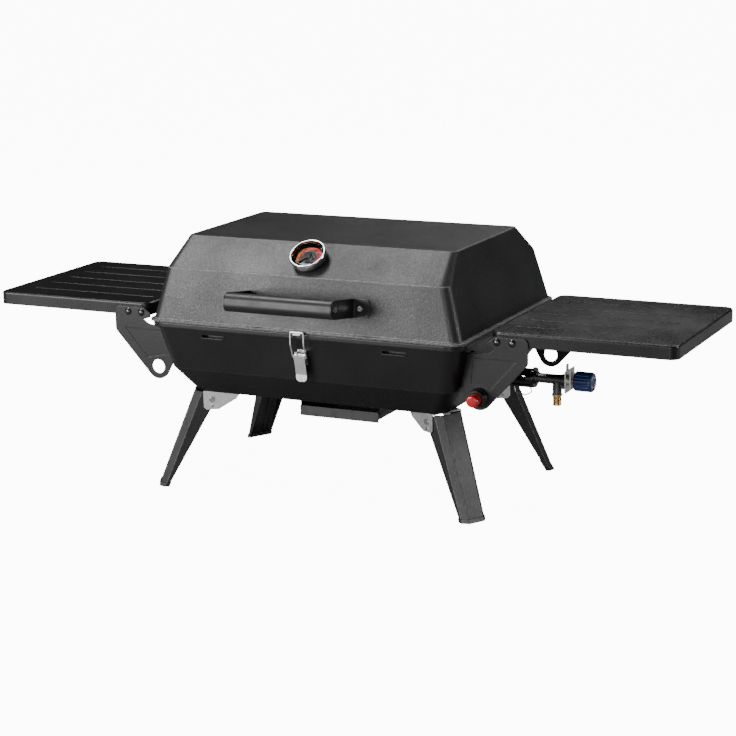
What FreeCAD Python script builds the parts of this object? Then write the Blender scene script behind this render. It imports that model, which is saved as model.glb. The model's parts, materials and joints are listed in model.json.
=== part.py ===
import FreeCAD, Part
import math
import os

V = FreeCAD.Vector

# A portable gas barbecue: a pressed steel bowl and hinged lid on four folding legs,
# with two side tables that fold up on brackets, and a gas valve on the right.
# +X is to the cook's right, -Y is the cook's side, +Z is up. The ground is z = 0.
# Every length is in millimetres.

# ---- Driving dimensions ----------------------------------------------------------

# Pressed sheet and the clearances that everything shares
sheet = 1.5               # steel sheet of bowl, lid and tables
plate = 2.0               # heavier strip of brackets and hinges
run_fit = 0.05            # radial play of a pin in the part that turns on it
side_play = 0.4           # play beside a leaf, ear or cheek that moves
rest_play = 0.3           # play under a nut or past a stop

# The meeting rims of bowl and lid
rim_half_x = 260.0
rim_half_y = 192.0
rim_z = 268.0
rim_gap = 0.5
band_overhang = 4.0       # how far the rims stand out past the walls
lid_band_height = 3.5
bowl_band_height = 9.0
band_round = 2.6          # lower outer edge of the bowl's rim
band_ease = 1.2           # the other outer edges of both rims
lid_corner = 16.0
lid_top_corner = 8.0

# Bowl
bowl_crease_drop = 75.0
bowl_crease_inset = 17.0
bowl_floor_drop = 115.5
bowl_floor_inset = 46.0
bowl_corner = 26.0
floor_corner = 21.0
drain_radius = 9.0

# Lid
lid_height = 124.0
lid_crease_height = 82.0
lid_crease_inset = 16.0   # in from the rim, at front and back
lid_top_inset_x = 38.0
lid_top_inset_y = 71.0
lid_open_deg = 95.0

# Air slots in the bowl's front
slot_centre_x = 150.5
slot_length = 37.0
slot_height = 4.0
slot_drop = 18.0
slot_lip = 3.0

# Handle
handle_half_length = 85.5
handle_height = 28.0
handle_depth = 24.0
handle_standoff = 66.0
handle_foot_length = 26.5
handle_rise = 43.0        # height of the feet above the rim joint
handle_round = 11.5

# Thermometer
gauge_radius = 28.0
gauge_lens_radius = 24.8
gauge_height = 15.5
gauge_probe = 38.0
gauge_floor = 5.5         # panel to the dial
gauge_wall = 1.6
gauge_glass = 1.3
gauge_lip = 1.5
gauge_cup = 9.0
spindle_radius = 0.8

# Side tables
table_length = 278.0
table_inset_y = 46.0      # narrower than the bowl's rim by this on each side
table_skirt = 20.0
table_rise = 16.5         # rim joint up to the table's top
table_gap = 25.0          # from the lid's rim to the table's inner edge
table_corner = 14.0
table_edge_round = 3.0
groove_count = 5
groove_pitch = 49.0
groove_width = 4.0
groove_depth = 0.8
groove_inner_margin = 20.0
groove_outer_margin = 38.0

# Table brackets
pivot_inset = 11.5        # table's inner edge to its pivot bolt
bolt_pitch = 23.5
bolt_drop = 14.5          # table's top down to its bolts
bolt_radius = 3.0
bolt_head_radius = 5.8
bolt_head_height = 3.4
bracket_play = 0.5        # table skirt to bracket
nut_standoff = 4.0        # skirt to nut, clear of the table's rounded corner
nut_height = 4.5
nut_radius = 5.77
ring_reach = 9.0          # igniter ring beyond the bowl's rim
ring_rise = 1.0           # and above the gas axis
ring_radius = 19.5
ring_hole_radius = 11.0
bracket_tab = 22.0
notch_lean = 2.2          # extra width on the stop notch's inner side, for the swing
emboss_depth = 0.8

# Legs
leg_pivot_inset_x = 65.0
leg_pivot_inset_y = 77.0
leg_pivot_drop = 13.5     # floor of the bowl down to the pivot
leg_turn_deg = 30.5       # each leg splays along this angle from the X axis
leg_splay_deg = 22.0
leg_web_reach = 29.0      # pivot to the web's outer face
leg_web_half_top = 15.5
leg_web_half_foot = 13.0
leg_chamfer_top = 9.0
leg_chamfer_foot = 8.0
leg_flange_foot = 5.0
leg_sheet = 1.6
leg_pin_radius = 3.0
leg_ear_radius = 10.0
leg_roof_reach = 13.0     # pivot to the outer edge of the bracket's top plate
leg_top_play = 1.5        # the leg's top edge stops on the bowl's floor
leg_fold_deg = 96.0
foot_cap_height = 6.0
foot_cap_floor = 2.5
foot_cap_wall = 1.2

# Drip tray and its rails
tray_half_x = 60.0
tray_lip = 7.0
tray_half_y = 62.0
tray_drop = 31.5          # bowl's floor down to the tray's lips
tray_depth = 14.0
tray_sheet = 1.2
tray_front_rise = 2.0
tray_travel = 110.0
rail_length = 116.0

# Burner and cooking parts
gas_drop = 82.5           # rim joint down to the burner, valve and knob axis
burner_radius = 11.0
burner_left_inset = 85.0
burner_sheet = 1.2
port_count = 16
port_pitch = 18.0
shroud_radius = 13.0
shroud_reach = 37.0       # shroud's end beyond the bowl's rim
flange_radius = 15.5
flange_thick = 3.0
jet_radius = 7.5
jet_length = 16.0
valve_length = 33.0
valve_radius = 7.5
inlet_drop_x = 18.0       # valve body's start to its inlet leg
inlet_leg_drop = 22.0
thread_radius = 6.58
thread_length = 15.0
nipple_collar = 3.0
nipple_bore_radius = 3.2
stem_radius = 3.0
knob_radius = 15.0
knob_length = 28.5
knob_gap = 4.5
knob_flutes = 16
knob_turn_deg = 180.0
grate_drop = 22.0
grate_thick = 6.0
grate_slots = 21
grate_margin = 10.0
heat_inset_x = 70.0
heat_inset_y = 134.0
heat_ridge_drop = 44.0
heat_eave_drop = 62.0

# Igniter
igniter_body_radius = 14.5
igniter_body_length = 14.0
button_radius = 9.3
button_proud = 17.0
button_travel = 4.0

# Latch
latch_drop = 33.5
latch_half_width = 9.0
lever_length = 37.0
bail_wire = 1.2
bail_half_width = 11.0
bail_lean = 2.0           # the bar's extra room in front of the rim
bail_kink = 19.0          # bar down to the bend in the bail's legs
keeper_reach = 7.6
keeper_half_width = 6.0
keeper_margin = 1.0       # keeper's top below the top of the lid's rim
rim_notch = 4.4           # notches in the lid's rim beside the bail's legs
bail_play = 0.5           # bar above the keeper's tongue
lever_sheet = 1.5
lever_web_h = 10.5        # bowl's wall to the lever's web
lever_axis_v, lever_axis_h = 2.0, 5.5     # up the wall and away from it
bail_axis_v, bail_axis_h = -1.5, 10.0
latch_pin_radius = 1.5
lever_open_deg = 100.0
bail_ratio = -1.5

# Lid hinges
hinge_x = 150.0
hinge_reach = 9.0
hinge_rise = 2.0
hinge_pin_radius = 2.5
hinge_knuckle_radius = 5.0
hinge_half_width = 20.0
hinge_lid_half_width = 7.6

rivet_radius = 2.4
rivet_head = 4.4

# ---- Places worked out from the driving dimensions --------------------------------

wall_half_x = rim_half_x - band_overhang
wall_half_y = rim_half_y - band_overhang
bowl_crease_z = rim_z - bowl_crease_drop
bowl_floor_z = rim_z - bowl_floor_drop
lid_crease_z = rim_z + lid_crease_height
lid_top_z = rim_z + lid_height
lid_floor_z = rim_z + rim_gap / 2
lid_crease_half_y = rim_half_y - lid_crease_inset
lid_top_half_x = rim_half_x - lid_top_inset_x
lid_top_half_y = rim_half_y - lid_top_inset_y
bowl_top_z = rim_z - rim_gap / 2
table_half_y = rim_half_y - table_inset_y
table_top_z = rim_z + table_rise
bolt_z = table_top_z - bolt_drop
table_inner_x = rim_half_x + table_gap
table_outer_x = table_inner_x + table_length
pivot_x = table_inner_x + pivot_inset
stop_x = pivot_x + bolt_pitch
bracket_y = table_half_y + bracket_play
hinge_y = rim_half_y + hinge_reach
hinge_z = rim_z + hinge_rise
leg_pivot_x = rim_half_x - leg_pivot_inset_x
leg_pivot_y = rim_half_y - leg_pivot_inset_y
leg_pivot_z = bowl_floor_z - leg_pivot_drop
leg_half_width = leg_web_half_top + leg_chamfer_top
leg_top = leg_pivot_drop - leg_top_play
cheek_y = leg_half_width + side_play
tray_top_z = bowl_floor_z - tray_drop
gas_z = rim_z - gas_drop
inlet_leg_end_z = gas_z - inlet_leg_drop
ring_x = rim_half_x + ring_reach
ring_z = gas_z + ring_rise
grate_z = rim_z - grate_drop
heat_half_x = rim_half_x - heat_inset_x
heat_half_y = rim_half_y - heat_inset_y
heat_ridge_z = rim_z - heat_ridge_drop
heat_eave_z = rim_z - heat_eave_drop
latch_z = rim_z - latch_drop
burner_left_x = burner_left_inset - rim_half_x
shroud_end_x = rim_half_x + shroud_reach
valve_x = shroud_end_x + flange_thick + jet_length
inlet_x = valve_x + inlet_drop_x
clip_x = valve_x + valve_length
clip_depth = 7.5
knob_x = clip_x + plate + clip_depth + knob_gap
nut_y = -(table_half_y - sheet) + nut_standoff
igniter_face_y = -(bracket_y + plate)
gauge_lip_z = gauge_height - gauge_lip
keeper_top = rim_z + 1.2


def bowl_inset(z):
    """Inward step of the bowl's outer wall at height z: two straight slopes."""
    if z >= bowl_crease_z:
        return bowl_crease_inset * (rim_z - z) / bowl_crease_drop
    lower = (bowl_crease_z - z) / (bowl_floor_drop - bowl_crease_drop)
    return bowl_crease_inset + (bowl_floor_inset - bowl_crease_inset) * lower


def lid_half_x(z):
    return wall_half_x - (wall_half_x - lid_top_half_x) * (z - rim_z) / lid_height


def lid_half_y(z):
    if z <= lid_crease_z:
        return wall_half_y - (wall_half_y - lid_crease_half_y) * (z - rim_z) / lid_crease_height
    upper = (z - lid_crease_z) / (lid_height - lid_crease_height)
    return lid_crease_half_y - (lid_crease_half_y - lid_top_half_y) * upper


# ---- Shape helpers ------------------------------------------------------------------


def box(x0, x1, y0, y1, z0, z1):
    return Part.makeBox(x1 - x0, y1 - y0, z1 - z0, V(x0, y0, z0))


def rod(start, direction, radius, length):
    return Part.makeCylinder(radius, length, V(*start), V(*direction))


def fuse(shapes):
    """One solid from several that meet or overlap."""
    first, rest = shapes[0], shapes[1:]
    return first.fuse(rest).removeSplitter()


def mirrored(shape, axis):
    normal = V(1, 0, 0) if axis == "x" else V(0, 1, 0)
    return shape.mirror(V(0, 0, 0), normal)


def ring_wire(half_x, half_y, radius, z):
    """Rounded rectangle about the Z axis: four sides and four quarter arcs."""
    edges = []
    corners = [(1, 1, 0), (-1, 1, 90), (-1, -1, 180), (1, -1, 270)]
    spots = []
    for sx, sy, turn in corners:
        cx, cy = sx * (half_x - radius), sy * (half_y - radius)
        arc = []
        for step in (0, 45, 90):
            a = math.radians(turn + step)
            arc.append(V(cx + radius * math.cos(a), cy + radius * math.sin(a), z))
        spots.append(arc)
    for i, arc in enumerate(spots):
        edges.append(Part.Arc(*arc).toShape())
        edges.append(Part.makeLine(arc[2], spots[(i + 1) % 4][0]))
    return Part.Wire(edges)


def loft(wires):
    return Part.makeLoft(wires, True, True)


def prism(points, start, along):
    """Closed polygon of 3-D points, moved to start and swept along a vector."""
    corners = [V(*p) for p in points]
    face = Part.Face(Part.makePolygon(corners + corners[:1]))
    face.translate(V(*start))
    return face.extrude(V(*along))


def prism_xz(outline, y, depth):
    return prism([(x, 0, z) for x, z in outline], (0, y, 0), (0, depth, 0))


def prism_yz(outline, x, width):
    return prism([(0, y, z) for y, z in outline], (x, 0, 0), (width, 0, 0))


def hexagon(x, z, radius):
    turns = [math.radians(60 * i + 30) for i in range(6)]
    return [(x + radius * math.cos(a), z + radius * math.sin(a)) for a in turns]


def wire_rod(points, radius, bend):
    """Round wire along straight runs joined by tangent arcs of one bend radius."""
    spots = [V(*p) for p in points]
    edges = []
    start = spots[0]
    for before, corner, after in zip(spots, spots[1:], spots[2:]):
        back, on = (before - corner).normalize(), (after - corner).normalize()
        half = back.getAngle(on) / 2
        trim = bend / math.tan(half)
        middle = corner + (back + on).normalize() * (bend / math.sin(half) - bend)
        first, last = corner + back * trim, corner + on * trim
        edges.append(Part.makeLine(start, first))
        edges.append(Part.Arc(first, middle, last).toShape())
        start = last
    edges.append(Part.makeLine(start, spots[-1]))
    section = Part.Wire([Part.Circle(spots[0], spots[1] - spots[0], radius).toShape()])
    return Part.Wire(edges).makePipeShell([section], True, False)


def round_rim(shape, z, radius):
    """Fillet on every edge that lies level at height z."""
    level = [e for e in shape.Edges if e.BoundBox.ZMin > z - 0.01 and e.BoundBox.ZMax < z + 0.01]
    return shape.makeFillet(radius, level)


def placed(shape, origin, x_dir, y_dir, z_dir):
    """Move a shape from its own axes to the given origin and axes."""
    turn = FreeCAD.Rotation(V(*x_dir), V(*y_dir), V(*z_dir), "ZXY")
    out = shape.copy()
    out.Placement = FreeCAD.Placement(V(*origin), turn).multiply(out.Placement)
    return out


def edges_along(shape, direction, keep):
    """Straight edges parallel to a direction whose middle passes a test."""
    axis = V(*direction)
    found = []
    for edge in shape.Edges:
        if edge.Curve.TypeId != "Part::GeomLine":
            continue
        run = edge.Vertexes[-1].Point - edge.Vertexes[0].Point
        if run.Length > 0 and abs(abs(run.dot(axis)) / run.Length - 1) < 1e-6:
            if keep(edge.CenterOfMass):
                found.append(edge)
    return found


# ---- Rivets: each one is cut out of the parts that it joins ---------------------------


def rivet(spot, direction, grip):
    """Shank of a given grip behind a low domed head that sits on the surface."""
    d = V(*direction)
    d.normalize()
    start = V(*spot)
    head_height = rivet_head * 0.45
    dome = (rivet_head**2 + head_height**2) / (2 * head_height)
    ball = Part.makeSphere(dome, start + d * (head_height - dome))
    cap = ball.common(Part.makeCylinder(rivet_head + 1, head_height + 1, start, d))
    shank = Part.makeCylinder(rivet_radius, grip, start - d * grip, d)
    return fuse([cap, shank])


# ---- Bowl -------------------------------------------------------------------------------


def bowl_wall_y(z):
    return wall_half_y - bowl_inset(z)


def bowl_wall_x(z):
    return wall_half_x - bowl_inset(z)


def bowl_frame(z):
    """Origin, up-the-wall and outward directions on the bowl's front wall."""
    slope = math.atan2(bowl_crease_inset, bowl_crease_drop)
    up = (0, -math.sin(slope), math.cos(slope))
    out = (0, -math.cos(slope), -math.sin(slope))
    return (0, -bowl_wall_y(z), z), up, out


def make_bowl():
    levels = [(bowl_floor_z, floor_corner), (bowl_crease_z, bowl_corner), (bowl_top_z, bowl_corner)]
    outer = [ring_wire(bowl_wall_x(z), bowl_wall_y(z), r, z) for z, r in levels]
    lower = math.atan2(bowl_floor_inset - bowl_crease_inset, bowl_floor_drop - bowl_crease_drop)
    step = sheet / math.cos(lower)
    inner = []
    for z, r in [(bowl_floor_z + sheet, floor_corner), (bowl_crease_z, bowl_corner),
                 (bowl_top_z + 1, bowl_corner)]:
        inner.append(ring_wire(bowl_wall_x(z) - step, bowl_wall_y(z) - step, r - step, z))
    band_low = bowl_top_z - bowl_band_height
    edge_x, edge_y = rim_half_x - rim_gap, rim_half_y - rim_gap
    band = loft([ring_wire(edge_x, edge_y, bowl_corner + 1, z) for z in (band_low, bowl_top_z)])
    band = round_rim(round_rim(band, band_low, band_round), bowl_top_z, band_ease)
    shell = loft(outer).fuse(band)
    slot_z = rim_z - slot_drop
    front = -bowl_wall_y(slot_z)
    lips, slots = [], []
    for hand in (-1, 1):
        x0 = hand * slot_centre_x - slot_length / 2
        low = slot_z - slot_height / 2
        lips.append(box(x0, x0 + slot_length, front - slot_lip, front + sheet, low - sheet, low))
        slots.append(box(x0, x0 + slot_length, front - 8, front + 8, low, low + slot_height))
    shell = shell.fuse(lips).cut(loft(inner)).cut(slots)
    shell = shell.cut(rod((0, 0, bowl_floor_z - 1), (0, 0, 1), drain_radius, sheet + 2))
    entry_x = bowl_wall_x(gas_z)
    shell = shell.cut(rod((entry_x - 30, 0, gas_z), (1, 0, 0), shroud_radius, 60))
    return shell


def make_ledges():
    """Four lugs on the bowl's inner walls that the cooking grate rests on."""
    z0 = grate_z - 3
    slope = math.atan2(bowl_floor_inset - bowl_crease_inset, bowl_floor_drop - bowl_crease_drop)
    y1 = bowl_wall_y(z0) - sheet / math.cos(slope)
    lug = box(slot_centre_x - 40 - 12, slot_centre_x - 40 + 12, y1 - 16, y1, z0, grate_z)
    lugs = [lug, mirrored(lug, "x"), mirrored(lug, "y"), mirrored(mirrored(lug, "y"), "x")]
    return Part.makeCompound(lugs)


def make_grate():
    z = grate_z
    half_x = bowl_wall_x(z) - grate_margin
    half_y = bowl_wall_y(z) - grate_margin
    slab = loft([ring_wire(half_x, half_y, bowl_corner - grate_margin, h) for h in (z, z + grate_thick)])
    frame = 12.0
    pitch = 2 * (half_x - frame) / grate_slots
    slots = []
    for i in range(grate_slots):
        x0 = -half_x + frame + i * pitch + 0.28 * pitch
        for y0, y1 in ((-half_y + frame + 14, -6), (6, half_y - frame - 14)):
            slots.append(box(x0, x0 + 0.44 * pitch, y0, y1, z - 1, z + grate_thick + 1))
    return slab.cut(slots)


def make_heat_plate():
    """Peaked sheet over the burner that stands on a foot at each corner."""
    t = sheet
    roof = prism_yz([(-heat_half_y, heat_eave_z), (0, heat_ridge_z), (heat_half_y, heat_eave_z),
                     (heat_half_y, heat_eave_z - t), (0, heat_ridge_z - t),
                     (-heat_half_y, heat_eave_z - t)], -heat_half_x, 2 * heat_half_x)
    feet = []
    for x0 in (-heat_half_x, heat_half_x - 14):
        for y0 in (-heat_half_y, heat_half_y - t):
            feet.append(box(x0, x0 + 14, y0, y0 + t, bowl_floor_z + sheet, heat_eave_z - t / 2))
    return fuse([roof] + feet)


# ---- Burner, gas valve and knob: all on one axis along X ---------------------------------


def make_burner():
    right = bowl_wall_x(gas_z) + 8
    tube = rod((burner_left_x, 0, gas_z), (1, 0, 0), burner_radius, right - burner_left_x)
    hollow = rod((burner_left_x + 2, 0, gas_z), (1, 0, 0), burner_radius - burner_sheet,
                 right - burner_left_x)
    ports = []
    first = -port_pitch * (port_count - 1) / 2 - 20
    for i in range(port_count):
        x = first + i * port_pitch
        ports.append(box(x - 4, x + 4, -burner_radius - 1, burner_radius + 1, gas_z + 2, gas_z + 3.6))
    return tube.cut(hollow).cut(ports)


def make_burner_foot():
    """Bent strip that carries the burner's left end on the bowl's floor."""
    low, x0, width = bowl_floor_z + sheet, burner_left_x + 10, 16.0
    post = box(x0, x0 + plate, -14, 14, low, gas_z + 4)
    foot = fuse([post, box(x0, x0 + width, -14, 14, low, low + plate)])
    return foot.cut(rod((x0 - 1, 0, gas_z), (1, 0, 0), burner_radius, width + 2))


def make_shroud():
    """Air sleeve around the burner's mouth, with an end flange and a stiffening strip."""
    start = bowl_wall_x(gas_z) - 12
    length = shroud_end_x - start
    sleeve = rod((start, 0, gas_z), (1, 0, 0), shroud_radius, length)
    sleeve = sleeve.cut(rod((start - 1, 0, gas_z), (1, 0, 0), burner_radius, length + 2))
    flange = rod((shroud_end_x, 0, gas_z), (1, 0, 0), flange_radius, flange_thick)
    flange = flange.cut(rod((shroud_end_x - 1, 0, gas_z), (1, 0, 0), jet_radius, flange_thick + 2))
    strip_x = bowl_wall_x(gas_z) + 3
    strip = box(strip_x, shroud_end_x, -8, 8, gas_z - shroud_radius - 1.6, gas_z - shroud_radius + 1)
    strip = strip.cut(rod((start, 0, gas_z), (1, 0, 0), shroud_radius - 0.5, length))
    air = [box(shroud_end_x - 24, shroud_end_x - 10, -30, 30, gas_z - 3.5, gas_z + 3.5)]
    return fuse([sleeve.cut(air), flange, strip])


def make_jet_holder():
    x0 = shroud_end_x
    body = rod((x0, 0, gas_z), (1, 0, 0), jet_radius, flange_thick + jet_length)
    collar = rod((x0 + flange_thick, 0, gas_z), (1, 0, 0), jet_radius + 2.2, 3.5)
    bore = rod((x0 - 1, 0, gas_z), (1, 0, 0), 2.0, 12)
    return fuse([body, collar]).cut(bore)


def make_valve():
    body = rod((valve_x, 0, gas_z), (1, 0, 0), valve_radius, valve_length)
    seat = rod((clip_x - 6, 0, gas_z), (1, 0, 0), valve_radius + 1.6, 6)
    leg = rod((inlet_x, 0, inlet_leg_end_z), (0, 0, 1), valve_radius - 0.5, gas_z - inlet_leg_end_z)
    ear = box(inlet_x - 3, inlet_x + 12, -3, 3, gas_z - 14, gas_z - 5)
    return fuse([body, seat, leg, ear])


def make_nipple():
    """Brass inlet: a collar under the valve's leg and a threaded end below it."""
    collar_z = inlet_leg_end_z - nipple_collar
    low = collar_z - thread_length
    top = rod((inlet_x, 0, collar_z), (0, 0, 1), thread_radius + 1.6, nipple_collar)
    thread = rod((inlet_x, 0, low), (0, 0, 1), thread_radius, thread_length)
    depth = thread_length + nipple_collar - 2
    bore = rod((inlet_x, 0, low - 1), (0, 0, 1), nipple_bore_radius, depth)
    return fuse([top, thread]).cut(bore)


def make_valve_clip():
    """Two zinc plates with the valve's bonnet between them."""
    x1 = clip_x + clip_depth
    inner = fuse([box(clip_x, clip_x + plate, -10, 10, gas_z - 18.5, gas_z + 15),
                  box(clip_x, clip_x + plate, -4, 4, gas_z + 14, gas_z + 25)])
    outer = box(x1, x1 + plate, -9, 9, gas_z - 13, gas_z + 20)
    bonnet = rod((clip_x, 0, gas_z), (1, 0, 0), 8.5, clip_depth + plate)
    bore = rod((clip_x - 1, 0, gas_z), (1, 0, 0), stem_radius + run_fit, clip_depth + 6)
    return fuse([inner, outer, bonnet]).cut(bore)


def make_stem():
    start = clip_x + rest_play
    return rod((start, 0, gas_z), (1, 0, 0), stem_radius, knob_x + 14 - start)


def make_knob():
    body = rod((knob_x, 0, gas_z), (1, 0, 0), knob_radius, knob_length)
    body = body.makeChamfer(1.8, body.Edges)
    flutes = []
    for i in range(knob_flutes):
        a = 2 * math.pi * i / knob_flutes
        y, z = (knob_radius + 1.6) * math.cos(a), gas_z + (knob_radius + 1.6) * math.sin(a)
        flutes.append(rod((knob_x + 4, y, z), (1, 0, 0), 2.4, knob_length - 9))
    body = body.cut(flutes)
    mark = box(knob_x + knob_length - 0.8, knob_x + knob_length + 1, -0.8, 0.8, gas_z + 3, gas_z + 12)
    return body.cut(mark).cut(rod((knob_x - 1, 0, gas_z), (1, 0, 0), stem_radius, 15))


def make_wire_clip():
    """Spring wire loop below the shroud, with both ends in holes of its strip."""
    x, top, y = shroud_end_x, gas_z - shroud_radius - 0.4, -4.5
    low = gas_z - flange_radius
    route = [(x - 4, y, top), (x - 2, y, low - 7), (x - 12, y, low - 12), (x - 28, y, low - 8), (x - 30, y, top)]
    return wire_rod(route, 1.0, 3.0)


# ---- Igniter in the front right bracket's ring -------------------------------------------


def make_igniter_body():
    y = igniter_face_y
    head = rod((ring_x, y, ring_z), (0, -1, 0), igniter_body_radius, igniter_body_length)
    barrel = rod((ring_x, y - 1, ring_z), (0, 1, 0), ring_hole_radius - rest_play, 32)
    pocket_depth = button_travel + 7.0
    pocket = rod((ring_x, y - igniter_body_length - 1, ring_z), (0, 1, 0), button_radius + run_fit,
                 pocket_depth + 1)
    return fuse([head, barrel]).cut(pocket)


def make_igniter_nut():
    y = -bracket_y
    nut = prism_xz(hexagon(ring_x, ring_z, 15.0), y, 5)
    return nut.cut(rod((ring_x, y - 1, ring_z), (0, 1, 0), ring_hole_radius - rest_play, 8))


def make_button():
    y = igniter_face_y - igniter_body_length
    length = button_proud + 6.0
    cap = rod((ring_x, y + 6.0, ring_z), (0, -1, 0), button_radius, length)
    front = [e for e in cap.Edges if abs(e.CenterOfMass.y - (y + 6.0 - length)) < 0.01]
    return cap.makeFillet(2.5, front)


def make_electrode():
    """Spark rod in a ceramic sleeve, held beside the burner by a bent clip."""
    x, y, z = 60.0, -24.0, gas_z + 8
    clip = box(x - 6, x + 6, y - 4, 0, z - 16, z - 14.5)
    clip = clip.cut(rod((x - 10, 0, gas_z), (1, 0, 0), burner_radius, 20))
    post = box(x - 6, x + 6, y - 5.5, y - 4, z - 16, z + 6)
    sleeve = rod((x, y - 4, z), (0, 1, 0), 3.0, 8)
    tip = rod((x, y + 3, z), (0, 1, -0.25), 0.9, 8)
    return fuse([clip, post, sleeve, tip])


# ---- Lid --------------------------------------------------------------------------------


def make_lid():
    """Pressed lid: upright lower panels, sloping upper panels and one flat end each side."""
    levels = [(lid_floor_z, lid_corner), (lid_crease_z, lid_corner - 2), (lid_top_z, lid_top_corner)]
    outer = loft([ring_wire(lid_half_x(z), lid_half_y(z), r, z) for z, r in levels])
    rise = lid_height - lid_crease_height
    steep = rise / math.hypot(rise, lid_crease_half_y - lid_top_half_y)
    inner = []
    for z, r, step in [(lid_floor_z - 1, lid_corner, sheet), (lid_crease_z, lid_corner - 2, sheet / steep),
                       (lid_top_z - sheet, lid_top_corner, sheet / steep)]:
        inner.append(ring_wire(lid_half_x(z) - 1.05 * sheet, lid_half_y(z) - step, max(r - step, 2), z))
    band = loft([ring_wire(rim_half_x, rim_half_y, lid_corner + 2, z)
                 for z in (lid_floor_z, lid_floor_z + lid_band_height)])
    band = round_rim(band, lid_floor_z + lid_band_height, band_ease)
    shell = outer.fuse(band).cut(loft(inner))
    for side in (-1, 1):
        x0 = side * bail_half_width - rim_notch / 2
        shell = shell.cut(box(x0, x0 + rim_notch, -rim_half_y - 1, -wall_half_y, lid_floor_z - 1,
                              lid_floor_z + lid_band_height - 1))
    return shell


def make_keeper():
    """Tongue on the face of the lid's rim for the bail to hook over."""
    back = -rim_half_y
    front = back - keeper_reach
    high = lid_floor_z + lid_band_height - keeper_margin
    outline = [(back, high), (back - plate, high), (back - plate, keeper_top), (front, keeper_top),
               (front, keeper_top - plate), (back, keeper_top - plate)]
    return prism_yz(outline, -keeper_half_width, 2 * keeper_half_width)


def handle_axes():
    slope = math.atan2(wall_half_y - lid_crease_half_y, lid_crease_height)
    z = rim_z + handle_rise
    up = (0, math.sin(slope), math.cos(slope))
    out = (0, -math.cos(slope), math.sin(slope))
    return (0, -lid_half_y(z), z), (1, 0, 0), up, out


def on_lid(shape):
    """From handle axes (along X, up the panel, away from it) to the lid's front."""
    return placed(shape, *handle_axes())


def make_grip():
    half, h, d = handle_half_length, handle_height / 2, handle_depth / 2
    bar = box(-half, half, -h, h, handle_standoff - d, handle_standoff + d)
    long_edges = edges_along(bar, (1, 0, 0), lambda p: True)
    return on_lid(bar.makeFillet(handle_round, long_edges))


def handle_strap(side):
    """Flat strap from the grip's end to a foot on the lid."""
    x0, h = handle_half_length, handle_height / 2
    arm = box(x0, x0 + plate, -h, h, 0, handle_standoff + handle_depth / 2)
    tip = edges_along(arm, (1, 0, 0), lambda p: p.z > handle_standoff)
    arm = arm.makeFillet(handle_round, tip)
    foot = box(x0, x0 + handle_foot_length, -h, h, 0, plate)
    ends = edges_along(foot, (0, 0, 1), lambda p: p.x > x0 + 1)
    strap = fuse([arm, foot.makeFillet(5.0, ends)])
    strap = strap if side > 0 else mirrored(strap, "x")
    return on_lid(strap)


def handle_screw_list():
    screws = []
    for side in (-1, 1):
        x = side * (handle_half_length + plate)
        head = rod((x, 0, handle_standoff), (side, 0, 0), 4.0, 2.2)
        shank = rod((x, 0, handle_standoff), (-side, 0, 0), 2.0, 14)
        screws.append(on_lid(fuse([head, shank])))
        x = side * (handle_half_length + 12.5)
        head = rod((x, 0, plate), (0, 0, 1), 4.0, 2.2)
        shank = rod((x, 0, plate), (0, 0, -1), 2.0, 9)
        screws.append(on_lid(fuse([head, shank])))
    return screws


def gauge_axes():
    """Centre of the lid's upper front panel, with the dial's up and outward directions."""
    rise = lid_height - lid_crease_height
    run = lid_crease_half_y - lid_top_half_y
    size = math.hypot(rise, run)
    z = (lid_crease_z + lid_top_z) / 2
    return (0, -lid_half_y(z), z), (1, 0, 0), (0, run / size, rise / size), (0, -rise / size, run / size)


def on_gauge(shape):
    return placed(shape, *gauge_axes())


def ring(outer, inner, low, high):
    return rod((0, 0, low), (0, 0, 1), outer, high - low).cut(
        rod((0, 0, low - 1), (0, 0, 1), inner, high - low + 2))


def make_gauge_body():
    cup = rod((0, 0, 0), (0, 0, 1), gauge_radius - gauge_wall, gauge_cup)
    cup = cup.cut(rod((0, 0, gauge_floor), (0, 0, 1), gauge_lens_radius, gauge_cup))
    neck = rod((0, 0, -8.0), (0, 0, 1), 4.0, 9.0)
    probe = rod((0, 0, -gauge_probe), (0, 0, 1), 2.0, gauge_probe)
    spindle = rod((0, 0, gauge_floor - 2), (0, 0, 1), spindle_radius + run_fit, 4)
    return on_gauge(fuse([cup, neck, probe]).cut(spindle))


def make_gauge_bezel():
    skirt = ring(gauge_radius, gauge_radius - gauge_wall, gauge_floor, gauge_height)
    lip = ring(gauge_radius, gauge_lens_radius - 0.6, gauge_lip_z, gauge_height)
    return on_gauge(fuse([skirt, lip]))


def make_gauge_dial():
    return on_gauge(ring(gauge_lens_radius, spindle_radius + run_fit, gauge_floor, gauge_floor + 1.0))


def make_gauge_glass():
    low = gauge_lip_z - gauge_glass
    return on_gauge(rod((0, 0, low), (0, 0, 1), gauge_radius - gauge_wall, gauge_glass))


def make_pointer():
    """Needle on a spindle, resting at the cold end of the scale at lower left."""
    low = gauge_floor + 1.4
    hub = rod((0, 0, low), (0, 0, 1), 2.6, 1.2)
    spindle = rod((0, 0, gauge_floor - 1.2), (0, 0, 1), spindle_radius, 3.0)
    needle = prism([(0.9, -5, 0), (0.35, 20, 0), (-0.35, 20, 0), (-0.9, -5, 0)], (0, 0, low), (0, 0, 0.8))
    whole = fuse([hub, spindle, needle])
    whole.rotate(V(0, 0, 0), V(0, 0, 1), 135)
    return on_gauge(whole)


# ---- Lid hinges at the back ---------------------------------------------------------------


def hinge_sets(make):
    one = make()
    return Part.makeCompound([one.translated(V(x, 0, 0)) for x in (-hinge_x, hinge_x)])


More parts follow.
